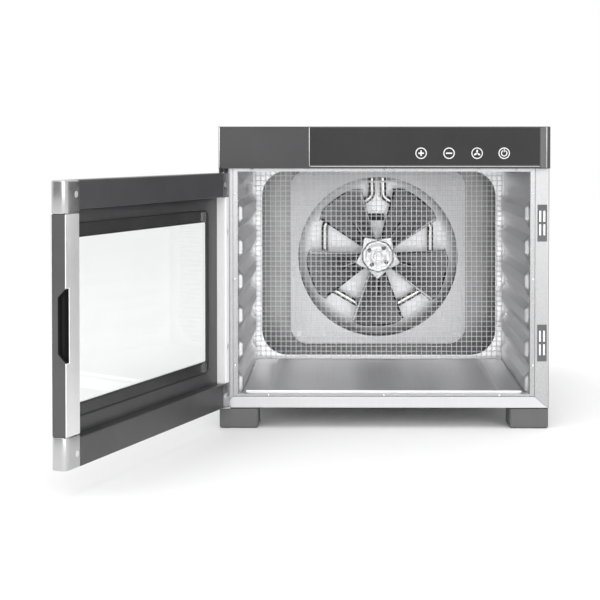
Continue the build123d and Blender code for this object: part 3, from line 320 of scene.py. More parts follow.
def make_materials():
    """Every finish of the machine, by its key in NODE_MATERIALS."""
    along_y, along_z = (900, 6, 900), (900, 900, 6)
    return {
        "shell": brushed_metal("brushed_shell", (0.36, 0.36, 0.365), (0.44, 0.44, 0.445), along_y, 0.30),
        "front": brushed_metal("brushed_front", (0.54, 0.54, 0.545), (0.57, 0.57, 0.575), along_z, 0.46),
        "pale": coated("pale_anodised", (0.80, 0.80, 0.805), (0.86, 0.86, 0.865), 0.40, 900),
        "insert": coated("handle_moulding", (0.060, 0.060, 0.062), (0.080, 0.080, 0.082), 0.42, 1400),
        "strip": brushed_metal("anodised_strip", (0.86, 0.86, 0.865), (0.93, 0.93, 0.935), along_z, 0.40),
        "trim": polished_metal("trim_bead", (0.40, 0.40, 0.405), 0.26),
        "steel": polished_metal("dark_steel", (0.16, 0.16, 0.165), 0.30),
        # Painted shade: near-black sheet for the finger pocket, which darkens the pocket where it lies in shade.
        "grip": coated("grip_shade_sheet", (0.004, 0.004, 0.004), (0.007, 0.007, 0.007), 0.60, 1300, specular=0.15),
        "liner": brushed_metal("satin_liner", (0.82, 0.82, 0.83), (0.89, 0.89, 0.90), along_y, 0.38),
        "tray": brushed_metal("satin_tray", (0.68, 0.68, 0.69), (0.76, 0.76, 0.77), along_y, 0.36),
        "back_sheet": brushed_metal("galvanised_sheet", (0.66, 0.67, 0.68), (0.76, 0.77, 0.78), (90, 90, 90), 0.44),
        # Painted shade: the shroud's throat inside 97 mm is darkened, and the motor plate darkens from 86 mm to full
        # beyond 98 mm, where they lie in shade.
        "shroud": ringed_sheet("shroud_sheet", (0.72, 0.72, 0.73), (0.77, 0.77, 0.78), 0.52,
                               shade_grey=0.3, inner=97, outer=98, shade_inside=True),
        "plate": ringed_sheet("motor_plate_sheet", (0.70, 0.71, 0.72), (0.76, 0.77, 0.78), 0.32,
                              shade_grey=0.40, inner=86, outer=98, shade_inside=False),
        "bright": polished_metal("bright_plating", (0.80, 0.80, 0.81), 0.16),
        "wire": polished_metal("guard_wire", (0.86, 0.86, 0.87), 0.34),
        "cast": polished_metal("cast_trim", (0.52, 0.52, 0.525), 0.24),
        "hub": polished_metal("hub_plating", (0.80, 0.80, 0.81), 0.34),
        "heater": polished_metal("heater_tube", (0.74, 0.73, 0.71), 0.14),
        "bronze": polished_metal("bearing_bronze", (0.68, 0.48, 0.24), 0.35),
        "fan": polished_metal("fan_alloy", (0.34, 0.34, 0.345), 0.26),
        "iron": coated("lamination_iron", (0.16, 0.16, 0.165), (0.24, 0.24, 0.245), 0.5, 900),
        "black": coated("black_moulding", (0.012, 0.012, 0.014), (0.022, 0.022, 0.024), 0.42, 1400),
        "foot": coated("foot_moulding", (0.085, 0.085, 0.087), (0.11, 0.11, 0.113), 0.50, 1200),
        "rail": coated("rail_paint", (0.040, 0.040, 0.042), (0.055, 0.055, 0.057), 0.36, 1500),
        "seal": coated("seal_strip", (0.020, 0.020, 0.021), (0.030, 0.030, 0.031), 0.30, 1500),
        "panel": coated("panel_paint", (0.052, 0.052, 0.054), (0.062, 0.062, 0.064), 0.44, 1600, specular=0.22),
        "gloss": coated("gloss_overlay", (0.024, 0.024, 0.025), (0.030, 0.030, 0.031), 0.22, 800, specular=0.14),
        "print": coated("white_print", (0.66, 0.66, 0.66), (0.75, 0.75, 0.75), 0.45, 900),
        "board": coated("circuit_board", (0.015, 0.09, 0.04), (0.03, 0.14, 0.06), 0.35, 700, coat=0.4),
        "ceramic": coated("glazed_ceramic", (0.82, 0.79, 0.72), (0.90, 0.87, 0.80), 0.25, 400, coat=0.6),
        "copper": coated("enamelled_copper", (0.28, 0.09, 0.03), (0.42, 0.15, 0.05), 0.32, 900, coat=0.3),
        "rubber": coated("seal_rubber", (0.010, 0.010, 0.010), (0.018, 0.018, 0.018), 0.60, 1100),
        "glass": clear_glass("door_pane"),
    }


NODE_MATERIALS = {
    "shell": ["outer_shell", "hinge_bracket"],
    "front": ["base_plate"],
    "strip": ["door_stile_handle"],
    "pale": ["door_stile_hinge"],
    "insert": ["handle_insert"],
    "liner": ["liner_right", "liner_left", "liner_ceiling", "liner_floor", "rear_bulkhead"],
    "trim": ["liner_trim"],
    "steel": ["fan_shaft"],
    "tray": ["drip_tray"],
    "back_sheet": ["rear_cover", "shroud_standoffs", "heater_bracket", "heater_clips",
                   "thermostat_bracket", "motor_brackets", "motor_posts"],
    "shroud": ["fan_shroud"],
    "plate": ["motor_plate"],
    "bright": ["cover_screws", "foot_screws", "trim_screws", "fan_rivets", "touch_springs",
               "catch_poles", "hinge_pins", "glass_clips"],
    "wire": ["mesh_guard", "door_screws"],
    "cast": ["handle_caps", "hinge_caps"],
    "hub": ["fan_hub"],
    "heater": ["heater_element"],
    "bronze": ["motor_bearings"],
    "fan": ["fan_wheel"],
    "iron": ["motor_stator", "motor_rotor"],
    "black": ["cord_gland", "thermostat", "display_module", "hinge_bush"],
    "foot": ["feet", "catch_housings"],
    "rail": ["door_rail_top", "door_rail_bottom", "door_inner_frame"],
    "panel": ["control_fascia", "badge_plate"],
    "gloss": ["panel_overlay"],
    "print": ["touch_marks"],
    "board": ["control_board", "power_board"],
    "ceramic": ["heater_terminals"],
    "copper": ["motor_coil"],
    "seal": ["glass_gasket"],
    "glass": ["door_glass"],
}


def dress_nodes(materials):
    """Gives every CAD node its material."""
    for key, names in NODE_MATERIALS.items():
        for name in names:
            node = NODES[name]
            if not node.material_slots:
                node.data.materials.append(materials[key])
            for slot in node.material_slots:
                slot.material = materials[key]


# ---- Mesh helpers ----

# Half angle between two edges, in radians, over which a corner counts as straight.
STRAIGHT = 1.56
# Grid lines per metre on which vertices are matched: one each 0.01 mm.
MATCH_GRID = 1e5


def finish_mesh(name, mesh, key, body, stands_for=(), angle=35.0):
    """Links a mesh as a piece of the object, with its material, body and the CAD nodes it replaces."""
    piece = bpy.data.objects.new(name, mesh)
    bpy.context.collection.objects.link(piece)
    mesh.materials.append(MATERIALS[key])
    mesh.shade_smooth()
    mesh.set_sharp_from_angle(angle=math.radians(angle))
    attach(piece, body)
    if stands_for:
        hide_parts(*stands_for)
    return piece


def thicken(piece, thickness, offset=0.0):
    """Gives a single skin the thickness of its sheet."""
    sheet = piece.modifiers.new("sheet", "SOLIDIFY")
    sheet.thickness = thickness
    sheet.offset = offset


def mesh_from(name, bm):
    """Turns a bmesh into a mesh whose faces all look outwards."""
    bmesh.ops.recalc_face_normals(bm, faces=bm.faces)
    mesh = bpy.data.meshes.new(name)
    bm.to_mesh(mesh)
    bm.free()
    return mesh


def add_rings(bm, rings, closed_ends=True):
    """Skins a stack of equal closed loops of points, and caps both ends."""
    loops = [[bm.verts.new(point) for point in ring] for ring in rings]
    count = len(loops[0])
    for low, high in zip(loops, loops[1:]):
        for i in range(count):
            j = (i + 1) % count
            bm.faces.new((low[i], low[j], high[j], high[i]))
    if closed_ends:
        bm.faces.new(list(reversed(loops[0])))
        bm.faces.new(loops[-1])
    return loops


def circle_points(radius, sides, start=0.0):
    angles = [start + 2 * math.pi * i / sides for i in range(sides)]
    return [(radius * math.cos(angle), radius * math.sin(angle)) for angle in angles]


def add_tube(bm, path, radius, sides=8):
    """Round bar that follows a path of points and turns smoothly at each."""
    rings = []
    normal = None
    for i, point in enumerate(path):
        here = Vector(point)
        before = Vector(path[max(i - 1, 0)])
        after = Vector(path[min(i + 1, len(path) - 1)])
        tangent = (after - before).normalized()
        if normal is None:
            normal = tangent.orthogonal().normalized()
        normal = (normal - tangent * normal.dot(tangent)).normalized()
        side = tangent.cross(normal)
        rings.append([here + normal * x + side * y for x, y in circle_points(radius, sides)])
    add_rings(bm, rings)


def arc_corners(points, radius, steps=5):
    """Rounds each corner of a closed outline of 2-D points."""
    rounded = []
    count = len(points)
    for i, corner in enumerate(points):
        here = Vector(corner)
        back = Vector(points[i - 1]) - here
        ahead = Vector(points[(i + 1) % count]) - here
        size = radius[i] if isinstance(radius, (list, tuple)) else radius
        half = back.angle(ahead) / 2
        if size <= 0 or half > STRAIGHT:
            rounded.append(here)
            continue
        reach = min(size / math.tan(half), 0.49 * back.length, 0.49 * ahead.length)
        start = here + back.normalized() * reach
        end = here + ahead.normalized() * reach
        for step in range(steps + 1):
            t = step / steps
            rounded.append(start * (1 - t) ** 2 + here * 2 * t * (1 - t) + end * t ** 2)
    return rounded


def islands(node):
    """Lowest and highest corners of every separate body of a CAD node, bottom ones first."""
    item = NODES[node]
    places = [item.matrix_world @ vertex.co for vertex in item.data.vertices]
    keys = {}
    parent = list(range(len(places)))

    def root(i):
        while parent[i] != i:
            parent[i] = parent[parent[i]]
            i = parent[i]
        return i

    for i, place in enumerate(places):
        parent[i] = keys.setdefault(tuple(round(c * MATCH_GRID) for c in place), i)
    for polygon in item.data.polygons:
        first = root(polygon.vertices[0])
        for other in polygon.vertices[1:]:
            parent[root(other)] = first
    groups = {}
    for i, place in enumerate(places):
        groups.setdefault(root(i), []).append(place)
    boxes = []
    for group in groups.values():
        low = Vector([min(p[k] for p in group) for k in range(3)])
        high = Vector([max(p[k] for p in group) for k in range(3)])
        boxes.append((low, high))
    return sorted(boxes, key=lambda box: (round(box[0].z, 4), round(box[0].x, 4)))


# ---- Door frame of reference ----

# At rest the door stands open. OPEN is the angle that it has turned through; ALONG runs from the hinge to the
# handle, and INWARD is the way that the door's inner face looks.
HINGE = find_joint("door_hinge")
PIVOT = Vector(HINGE["pos_m"])
OPEN = math.radians(-HINGE["range_deg"][0])
ALONG = Vector((math.cos(OPEN), -math.sin(OPEN), 0))
INWARD = Vector((math.sin(OPEN), math.cos(OPEN), 0))
PIVOT_FROM_END = 3.4 * MM
PIVOT_INSET = 5.0 * MM
# Lengths along the door; the handle stile starts at HANDLE_S.
DOOR_LENGTH = 336.4 * MM
DOOR_THICKNESS = 15.0 * MM
HANDLE_S = 313.8 * MM


def door_point(s, depth, z):
    """World place of a point s along the door, depth under its inner face, at height z."""
    place = PIVOT + ALONG * (s - PIVOT_FROM_END) + INWARD * (PIVOT_INSET - depth)
    return Vector((place.x, place.y, z))


# ---- Cavity: wire guard, pressed walls, tray ----

GUARD_PITCH = 6 * MM
WIRE_SIDES = 6


def make_guard():
    """Welded screen of round wires: uprights in front of level ones."""
    low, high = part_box("mesh_guard")
    radius = (high.y - low.y) / 4
    across = int((high.x - low.x) / GUARD_PITCH) + 1
    levels = int((high.z - low.z) / GUARD_PITCH) + 1
    middle = (low + high) / 2
    bm = bmesh.new()
    for i in range(across):
        x = middle.x + (i - (across - 1) / 2) * GUARD_PITCH
        y = low.y + radius
        add_tube(bm, [(x, y, low.z), (x, y, high.z)], radius, WIRE_SIDES)
    for i in range(levels):
        z = middle.z + (i - (levels - 1) / 2) * GUARD_PITCH
        y = high.y - radius
        add_tube(bm, [(low.x, y, z), (high.x, y, z)], radius, WIRE_SIDES)
    finish_mesh("guard_wires", mesh_from("guard_wires", bm), "wire", "cabinet", ["mesh_guard"], angle=80)


SHELF_PITCH = 35.3 * MM
SHELF_COUNT = 6
LEDGE_TOP = 51.0 * MM
LEDGE_REACH = 5.0 * MM
LEDGE_ROUNDING = 3.2 * MM
# How a ledge rises from the sheet at its ends: millimetres along it, share of its full reach.
LEDGE_RAMP = ((0.0, 0.0), (0.7, 0.05), (1.8, 0.40), (3.0, 0.76), (4.2, 0.95), (5.6, 1.0))
WALL_SHEET = 1.0 * MM


def ledge_profile():
    """How far the wall stands out (0 to 1) at each height, from the floor to the ceiling."""
    low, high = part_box("liner_right")
    corners = [(0.66, low.z)]
    for i in range(SHELF_COUNT):
        top = LEDGE_TOP + i * SHELF_PITCH
        if i > 0:
            corners.append((0.0, top - 22 * MM))
        corners += [(1.0, top - 12 * MM), (1.0, top), (0.0, top + 7 * MM)]
    corners.append((0.0, high.z))
    scaled = [(reach * LEDGE_REACH, z) for reach, z in corners]
    radii = [0.0] + [LEDGE_ROUNDING] * (len(scaled) - 2) + [0.0]
    return [(p[0] / LEDGE_REACH, p[1]) for p in arc_corners(scaled, radii, 4)]


def make_walls():
    """Cavity walls pressed with smooth ledges whose ends are drawn down to the sheet."""
    low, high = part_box("liner_right")
    profile = ledge_profile()
    start, end = low.y + 7 * MM, high.y - 6 * MM
    stations = [(low.y, 0.0)]
    stations += [(start + along * MM, rise) for along, rise in LEDGE_RAMP]
    stations += [(start + (end - start) * t, 1.0) for t in (0.25, 0.5, 0.75)]
    stations += [(end - along * MM, rise) for along, rise in reversed(LEDGE_RAMP)]
    stations.append((high.y, 0.0))
    for side, node in ((1, "liner_right"), (-1, "liner_left")):
        bm = bmesh.new()
        rows = []
        for y, rise in stations:
            rows.append([bm.verts.new((side * (high.x - WALL_SHEET - LEDGE_REACH * reach * rise), y, z))
                         for reach, z in profile])
        for near, far in zip(rows, rows[1:]):
            for i in range(len(profile) - 1):
                bm.faces.new((near[i], far[i], far[i + 1], near[i + 1]))
        mesh = mesh_from(node + "_pressed", bm)
        piece = finish_mesh(node + "_pressed", mesh, "liner", "cabinet", [node], angle=50)
        thicken(piece, WALL_SHEET, offset=1.0 if mesh.polygons[0].normal.x * side > 0 else -1.0)


def rounded_rectangle(half_x, half_y, radius, steps=5):
    """Outline round the origin, from its half sizes."""
    corners = [(-half_x, -half_y), (half_x, -half_y), (half_x, half_y), (-half_x, half_y)]
    return arc_corners(corners, radius, steps)


# The tray's surface from its rim inwards, in millimetres: inset across, inset front to back, height.
TRAY_STEPS = ((0.0, 0.8, 0.0), (0.0, 0.8, 0.8), (21.6, 5.6, 0.8), (22.4, 6.4, 1.1), (23.4, 7.4, 1.4),
              (24.4, 8.4, 1.1), (25.2, 9.2, 0.8), (30.0, 14.0, 0.8))
TRAY_CORNER = 4 * MM


def make_tray():
    """Drip tray of thin sheet: smooth pressed border, and a hem rolled up along its front."""
    low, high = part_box("drip_tray")
    middle = (low + high) / 2
    half_x, half_y = (high.x - low.x) / 2, (high.y - low.y) / 2
    top = low.z + 0.8 * MM
    bm = bmesh.new()
    rings = []
    for inset_x, inset_y, height in TRAY_STEPS:
        outline = rounded_rectangle(half_x - inset_x * MM, half_y - inset_y * MM, TRAY_CORNER)
        rings.append([(middle.x + x, middle.y + y, low.z + height * MM) for x, y in outline])
    add_rings(bm, rings)
    hem = [(low.y + 0.8 * MM, top), (low.y + 0.3 * MM, top + 0.2 * MM), (low.y + 0.02 * MM, top + 0.9 * MM),
           (low.y + 0.02 * MM, high.z - 0.3 * MM), (low.y + 0.3 * MM, high.z),
           (low.y + 0.7 * MM, high.z - 0.25 * MM), (low.y + 0.8 * MM, top + 0.9 * MM), (low.y + 1.2 * MM, top)]
    add_rings(bm, [[(x, y, z) for y, z in hem] for x in (low.x + 1 * MM, high.x - 1 * MM)])
    finish_mesh("drip_tray_sheet", mesh_from("drip_tray_sheet", bm), "tray", "cabinet", ["drip_tray"], angle=50)


# ---- Fasteners ----

# Shares of a screw head's radius: half width of the recess, its reach, where the dome turns down to the rim.
RECESS_WIDTH = 0.17
RECESS_REACH = 0.66
RIM_START = 0.8


def add_screw(bm, place, outward, radius, height, shank, length):
    """Pan head with a cross recess, and its shank behind it."""
    turn = Vector(outward).to_track_quat("Z", "Y").to_matrix()
    sides, steps = 40, 12
    dip = min(0.75 * height, 0.5 * radius)
    rings = []
    for step in range(steps, 0, -1):
        t = step / steps
        ring = []
        for x, y in circle_points(radius * t, sides, math.pi / sides):
            dome = height * (1 - 0.35 * t * t - 0.65 * max(0.0, (t - RIM_START) / 0.2) ** 2)
            slot = max(0.0, 1 - (min(abs(x), abs(y)) / (RECESS_WIDTH * radius)) ** 4)
            reach = max(0.0, 1 - (t / RECESS_REACH) ** 6)
            ring.append(Vector((x, y, dome - dip * slot * reach)))
        rings.append(ring)
    base, neck, tip = (
        [Vector((x, y, z)) for x, y in circle_points(size, sides, math.pi / sides)]
        for size, z in ((radius, 0), (shank, 0), (shank, -length))
    )
    centre = Vector(place)
    add_rings(bm, [[centre + turn @ point for point in ring] for ring in [tip, neck, base] + rings])


def replace_screws(node, outward, body, key="bright", length=1.2 * MM, height=None):
    """Recessed heads in place of a node's plain ones; outward is the way that they face."""
    bm = bmesh.new()
    axis = Vector(outward)
    for low, high in islands(node):
        size = high - low
        across = max(size.z, size.x if abs(axis.x) < 0.5 else 0.0)
        thick = height or size.y
        foot = (low + high) / 2 - axis * thick / 2
        add_screw(bm, foot, axis, across / 2, thick, 1.0 * MM, length)
    finish_mesh(node + "_heads", mesh_from(node + "_heads", bm), key, body, [node], angle=28)


# ---- Door: corner castings and seal ----

# Softened rim of a casting, in millimetres: distance from its end, inset of the outline.
CAP_RIM = ((0.0, 1.2), (0.25, 0.55), (0.7, 0.15), (1.4, 0.0))
CAP_ROUND_EDGE = 5 * MM
CAP_SHARP_EDGE = 0.4 * MM


def make_handle_caps():
    """Cast corners at the free edge, round on both long edges, with softened rims."""
    bm = bmesh.new()
    middle_s = (HANDLE_S + DOOR_LENGTH) / 2
    half_s = (DOOR_LENGTH - HANDLE_S) / 2
    half_d = DOOR_THICKNESS / 2
    for low, high in islands("handle_caps"):
        rings = []
        heights = [(low.z + up * MM, inset) for up, inset in CAP_RIM]
        heights += [(high.z - up * MM, inset) for up, inset in reversed(CAP_RIM)]
        for z, inset in heights:
            s, d = half_s - inset * MM, half_d - inset * MM
            edges = [CAP_SHARP_EDGE, CAP_ROUND_EDGE, CAP_ROUND_EDGE, CAP_SHARP_EDGE]
            outline = arc_corners([(-s, -d), (s, -d), (s, d), (-s, d)], edges, 8)
            rings.append([door_point(middle_s + x, half_d + y, z) for x, y in outline])
        add_rings(bm, rings)
    finish_mesh("handle_corner_castings", mesh_from("handle_corner_castings", bm), "cast", "door",
                ["handle_caps"], angle=60)


# Spans along the door and upwards: the clear window, and the frame's hole that the seal fills.
WINDOW_S = (36.0 * MM, 300.0 * MM)
WINDOW_Z = (74.5 * MM, 215.0 * MM)
SEAL_S = (33.0 * MM, 306.0 * MM)
SEAL_Z = (62.5 * MM, 227.0 * MM)
RECESS = 10.0 * MM
LIP_SIDES = 8


def door_loop(s_span, z_span, radius, depth):
    """Closed loop of door places: a rounded rectangle at one depth."""
    half_s, half_z = (s_span[1] - s_span[0]) / 2, (z_span[1] - z_span[0]) / 2
    outline = rounded_rectangle(half_s, half_z, radius, 8)
    return [door_point(sum(s_span) / 2 + x, depth, sum(z_span) / 2 + z) for x, z in outline]


def make_seal_lips():
    """Two rounded rubber lips: one along the frame's hole, one along the edge of the clear window."""
    bm = bmesh.new()
    for s_span, z_span, radius, bead, inset in (
        (SEAL_S, SEAL_Z, 8.2 * MM, 0.9 * MM, 0.8 * MM),
        (WINDOW_S, WINDOW_Z, 2.4 * MM, 0.8 * MM, -0.6 * MM),
    ):
        s_line = (s_span[0] + inset, s_span[1] - inset)
        z_line = (z_span[0] + inset, z_span[1] - inset)
        path = door_loop(s_line, z_line, radius, RECESS - 0.9 * MM)
        count = len(path)
        rings = []
        for i, here in enumerate(path):
            tangent = (path[(i + 1) % count] - path[i - 1]).normalized()
            side = tangent.cross(INWARD)
            rings.append([bm.verts.new(here + side * x + INWARD * y) for x, y in circle_points(bead, LIP_SIDES)])
        for i in range(count):
            near, far = rings[i], rings[(i + 1) % count]
            for k in range(LIP_SIDES):
                m = (k + 1) % LIP_SIDES
                bm.faces.new((near[k], near[m], far[m], far[k]))
    finish_mesh("seal_lips", mesh_from("seal_lips", bm), "rubber", "door", angle=80)


# ---- Fan ----

BLADES = 5
BLADE_RADIUS = 88.0 * MM
BLADE_ROOT = 14 * MM
TIP_GAP = 0.2 * MM
BLADE_SHEET = 1.1 * MM
BLADE_DISH = 1.1 * MM
# Radius and chord in millimetres, pitch in degrees.
BLADE_TABLE = ((15, 20, 34), (50, 46, 27), (90, 74, 21))
RIB_HALF_WIDTH = 1.5 * MM
RIB_RISE = 1.6 * MM
RIB_END = 49 * MM
HUB_POINT = 29.2 * MM
HUB_VALLEY = 21 * MM
WHEEL_SIDES = 64


def fan_point(angle, radius, forward):
    """A place in the fan's frame: angle and radius in its plane, forward towards the cavity."""
    return FAN_CENTRE + Vector((radius * math.cos(angle), -forward, radius * math.sin(angle)))


def blade_shape(radius):
    """Chord and pitch angle of a blade at a radius in millimetres."""
    inner, middle, outer = BLADE_TABLE
    (r0, c0, p0), (r1, c1, p1) = (inner, middle) if radius <= middle[0] else (middle, outer)
    u = (radius - r0) / (r1 - r0)
    return (c0 + (c1 - c0) * u) * MM, math.radians(p0 + (p1 - p0) * u)


def make_fan():
    """Five dished blades with rounded tips and a pressed rib along each root, on one centre disc."""
    bm = bmesh.new()
    columns, rows = 35, 30
    for blade in range(BLADES):
        middle = math.radians(-90) + blade * 2 * math.pi / BLADES
        out = Vector((math.cos(middle), 0, math.sin(middle)))
        across = Vector((-math.sin(middle), 0, math.cos(middle)))
        forward = Vector((0, -1, 0))
        grid = []
        for row in range(rows):
            reach = BLADE_ROOT + (BLADE_RADIUS - BLADE_ROOT - TIP_GAP) * row / (rows - 1)
            chord, pitch = blade_shape(reach / MM)
            line = []
            for column in range(columns):
                share = 2 * column / (columns - 1) - 1
                u = share * abs(share) ** 0.7
                side = u * chord / 2 * math.cos(pitch)
                lift = -u * chord / 2 * math.sin(pitch)
                limit = math.sqrt(max(BLADE_RADIUS ** 2 - side * side, 0.0))
                tip = 1 - 0.055 * max(0.0, abs(u) - 0.55) ** 2 / 0.2
                along = min(reach, limit) * (1 - (1 - tip) * row / (rows - 1))
                rib = max(0.0, 1 - (abs(side) / RIB_HALF_WIDTH) ** 2)
                fade = max(0.0, min(1.0, (RIB_END - along) / (6 * MM)))
                dish = -BLADE_DISH * (1 - u * u) * min(1.0, (along - BLADE_ROOT) / (30 * MM))
                line.append(bm.verts.new(FAN_CENTRE + out * along + across * side
                                         + forward * (lift + dish + RIB_RISE * rib * fade)))
            grid.append(line)
        for near, far in zip(grid, grid[1:]):
            for i in range(columns - 1):
                bm.faces.new((near[i], near[i + 1], far[i + 1], far[i]))
    mesh = mesh_from("fan_blades", bm)
    piece = finish_mesh("fan_blades", mesh, "fan", "fan", ["fan_wheel"], angle=40)
    thicken(piece, BLADE_SHEET)
    make_wheel_disc()


def make_wheel_disc():
    """Thick centre of the wheel, with softened rims and a bore for the shaft."""
    front = FAN_CENTRE.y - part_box("fan_hub")[1].y
    back = -4 * MM
    bm = bmesh.new()
    profile = [(4.05, back / MM), (19.2, back / MM), (19.8, back / MM + 0.25), (20.0, back / MM + 0.8),
               (20.0, front / MM - 0.8), (19.8, front / MM - 0.25), (19.2, front / MM), (4.05, front / MM)]
    rings = [[fan_point(2 * math.pi * i / WHEEL_SIDES, radius * MM, depth * MM) for i in range(WHEEL_SIDES)]
             for radius, depth in profile]
    loops = add_rings(bm, rings, closed_ends=False)
    for i in range(WHEEL_SIDES):
        j = (i + 1) % WHEEL_SIDES
        bm.faces.new((loops[-1][i], loops[-1][j], loops[0][j], loops[0][i]))
    finish_mesh("fan_disc", mesh_from("fan_disc", bm), "fan", "fan", angle=40)


def make_hub():
    """Pressed five-pointed plate: rounded points, a turned-down rim and a raised round cap."""
    back = FAN_CENTRE.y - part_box("fan_hub")[1].y
    points = []
    for i in range(2 * BLADES):
        angle = math.radians(-90) + i * math.pi / BLADES
        radius = HUB_VALLEY if i % 2 else HUB_POINT
        points.append((radius * math.cos(angle), radius * math.sin(angle)))
    outline = arc_corners(points, [3.2 * MM, 6 * MM] * BLADES, 6)
    angles = [math.atan2(p[1], p[0]) for p in outline]
    bm = bmesh.new()
    rings = []
    for scale, forward in ((0.985, back), (1.0, back + 0.35 * MM), (0.985, back + 0.95 * MM), (0.95, back + 1.2 * MM)):
        rings.append([FAN_CENTRE + Vector((p[0] * scale, -forward, p[1] * scale)) for p in outline])
    dome = [(20.2, 1.2), (19.8, 1.35), (19.2, 2.2), (18.7, 2.75), (18.0, 2.95), (17.0, 3.0), (15.6, 2.95),
            (15.2, 2.7), (9.0, 2.7), (8.6, 2.95), (6.0, 3.0), (5.4, 2.6), (4.6, 2.5)]
    for radius, up in dome:
        rings.append([fan_point(angle, radius * MM, back + up * MM) for angle in angles])
    loops = add_rings(bm, rings, closed_ends=False)
    bm.faces.new(list(reversed(loops[0])))
    bm.faces.new(loops[-1])
    finish_mesh("fan_hub_plate", mesh_from("fan_hub_plate", bm), "hub", "fan", ["fan_hub"], angle=50)


def make_rivets():
    """Domed rivet heads with a small flat on the hub plate."""
    bm = bmesh.new()
    for low, high in islands("fan_rivets"):
        middle = (low + high) / 2
        radius = (high.x - low.x) / 2
        profile = [(0.8, high.y), (0.8, low.y + 0.9 * MM), (1.0, low.y + 0.9 * MM), (0.98, low.y + 0.5 * MM),
                   (0.75, low.y + 0.12 * MM), (0.4, low.y)]
        rings = [[(middle.x + x, y, middle.z + z) for x, z in circle_points(radius * scale, 20)]
                 for scale, y in profile]
        add_rings(bm, rings)
    finish_mesh("fan_rivet_heads", mesh_from("fan_rivet_heads", bm), "steel", "fan", ["fan_rivets"], angle=40)


# ---- Panel edge highlights and finger grip ----

# Painted highlights: the beads at -167.9 and 164.9 stand for light caught by the panel's rounded ends.
# In millimetres: place across, place behind the panel's face, radius, lower and upper end.
PANEL_BEADS = (
    (-76.4, 0.0, 0.42, 270.8, 310.2),
    (164.9, 0.0, 0.5, 269.2, 310.4),
    (-167.9, 0.9, 0.7, 269.2, 310.4),
)
# Left, right, lower and upper edge of the paler strip; left and right end and height of the level bead.
END_STRIP = (158.6, 164.3, 269.2, 310.4)
LOWER_LINE = (-75.6, 157.8, 270.5)
LOWER_LINE_RADIUS = 0.28
BEAD_SIDES = 10


def bead_rings(start, end, radius):
    """Places along a bead with its outline at each, in millimetres; both ends taper."""
    return [(place, circle_points(radius * (0.6 if place in (start, end) else 1.0), BEAD_SIDES))
            for place in (start, start + 0.3, end - 0.3, end)]


def make_panel_edge_highlights():
    """Slim bright beads between the two inlays, under the overlay and at both ends of the panel. The end beads are
    painted highlights on the panel's rounded ends; the other two are light trim lines that also paint the highlight on
    the overlay's bevelled edge.
    """
    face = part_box("control_fascia")[0].y
    bm = bmesh.new()
    for x, back, radius, low, high in PANEL_BEADS:
        add_rings(bm, [[((x + across) * MM, face + (back + out * 0.4) * MM, z * MM) for across, out in outline]
                       for z, outline in bead_rings(low, high, radius)])
    left, right, height = LOWER_LINE
    add_rings(bm, [[(x * MM, face + out * 0.4 * MM, (height + up) * MM) for up, out in outline]
                   for x, outline in bead_rings(left, right, LOWER_LINE_RADIUS)])
    finish_mesh("panel_edge_highlights", mesh_from("panel_edge_highlights", bm), "cast", "cabinet", angle=70)
    left, right, low, high = END_STRIP
    outline = arc_corners([(left, low), (right, low), (right, high), (left, high)], 0.8, 4)
    bm = bmesh.new()
    add_rings(bm, [[(x * MM, face - up * MM, z * MM) for x, z in outline] for up in (-0.05, 0.06)])
    finish_mesh("panel_end_strip", mesh_from("panel_end_strip", bm), "foot", "cabinet")


# The finger pocket, measured along the door; its half height and middle are upright.
GRIP_START = DOOR_LENGTH - 5.6 * MM
GRIP_END = DOOR_LENGTH - 0.45 * MM
GRIP_DEPTH = 8.0 * MM
GRIP_HALF = 31.5 * MM
GRIP_MIDDLE = 143.85 * MM
GRIP_GAP = 0.15 * MM
GRIP_SHEET = 0.1 * MM
SHADE_SHEET_RIM = 0.6 * MM


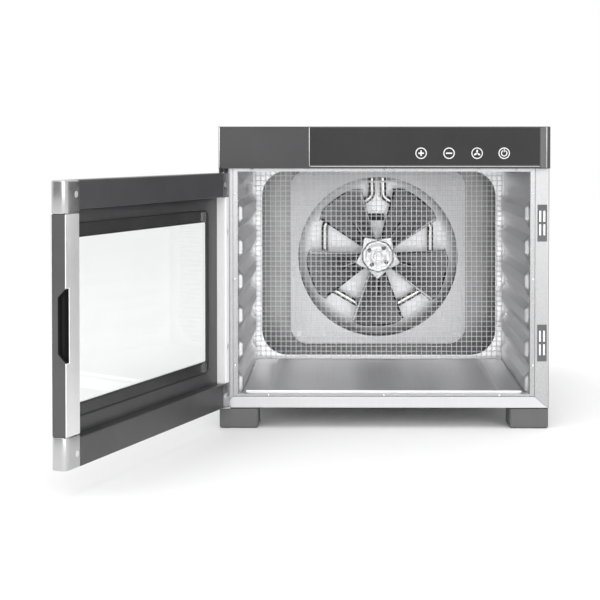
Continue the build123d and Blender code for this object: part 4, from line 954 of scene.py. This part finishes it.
def make_grip_shade_sheet():
    """Near-black sheet of painted shade in the finger pocket: its wall, its floor and both slanted ends."""
    deep = GRIP_DEPTH - GRIP_GAP
    half_floor = GRIP_HALF - GRIP_DEPTH - GRIP_GAP
    half_rim = GRIP_HALF - GRIP_GAP - SHADE_SHEET_RIM
    edge = [(SHADE_SHEET_RIM, -half_rim), (deep, -half_floor), (deep, half_floor), (SHADE_SHEET_RIM, half_rim)]
    bm = bmesh.new()
    wall = [bm.verts.new(door_point(GRIP_START + GRIP_GAP, depth, GRIP_MIDDLE + z)) for depth, z in edge]
    rim = [bm.verts.new(door_point(GRIP_END, depth, GRIP_MIDDLE + z)) for depth, z in edge]
    bm.faces.new(wall)
    for i in range(3):
        bm.faces.new((wall[i], rim[i], rim[i + 1], wall[i + 1]))
    piece = finish_mesh("grip_shade_sheet", mesh_from("grip_shade_sheet", bm), "grip", "door", angle=20)
    thicken(piece, GRIP_SHEET)


# ---- Softened edges on nodes whose shape is right ----

# Width of each node's rounded edges, in millimetres.
SOFT_EDGES = {
    "door_rail_top": 0.8, "door_rail_bottom": 0.8, "door_stile_handle": 0.35, "door_stile_hinge": 0.35,
    "handle_insert": 0.5, "control_fascia": 1.2, "feet": 0.9, "outer_shell": 0.35, "base_plate": 0.3,
    "rear_cover": 0.3, "liner_trim": 0.15, "catch_housings": 0.3, "catch_poles": 0.2, "hinge_caps": 0.5,
    "hinge_bush": 0.4, "hinge_bracket": 0.4, "door_inner_frame": 0.3, "glass_gasket": 0.3, "glass_clips": 0.3,
    "panel_overlay": 0.15, "badge_plate": 0.15, "fan_shroud": 0.3, "rear_bulkhead": 0.3, "motor_stator": 0.3,
    "motor_coil": 1.5, "motor_brackets": 0.4, "power_board": 0.3, "control_board": 0.2, "display_module": 0.4,
    "thermostat": 0.4, "heater_terminals": 0.4, "door_glass": 0.3,
}


def soften_edges():
    """Welds each listed node and rounds its edges by a width in millimetres."""
    for name, width in SOFT_EDGES.items():
        node = NODES[name]
        weld = node.modifiers.new("weld", "WELD")
        weld.merge_threshold = 0.01 * MM
        rounding = node.modifiers.new("rounding", "BEVEL")
        rounding.width = width * MM
        rounding.segments = 3
        rounding.limit_method = "ANGLE"
        rounding.angle_limit = math.radians(40)
        rounding.harden_normals = False


# ---- The whole machine ----

make_camera()
make_studio()
MATERIALS = make_materials()
dress_nodes(MATERIALS)
make_guard()
make_walls()
make_tray()
make_handle_caps()
make_fan()
make_hub()
make_rivets()
make_seal_lips()
make_panel_edge_highlights()
make_grip_shade_sheet()
soften_edges()
replace_screws("trim_screws", (0, -1, 0), "cabinet")
replace_screws("cover_screws", (0, 1, 0), "cabinet", length=2 * MM, height=1.4 * MM)
replace_screws("door_screws", INWARD, "door", "wire", height=0.25 * MM)

bpy.context.view_layer.update()
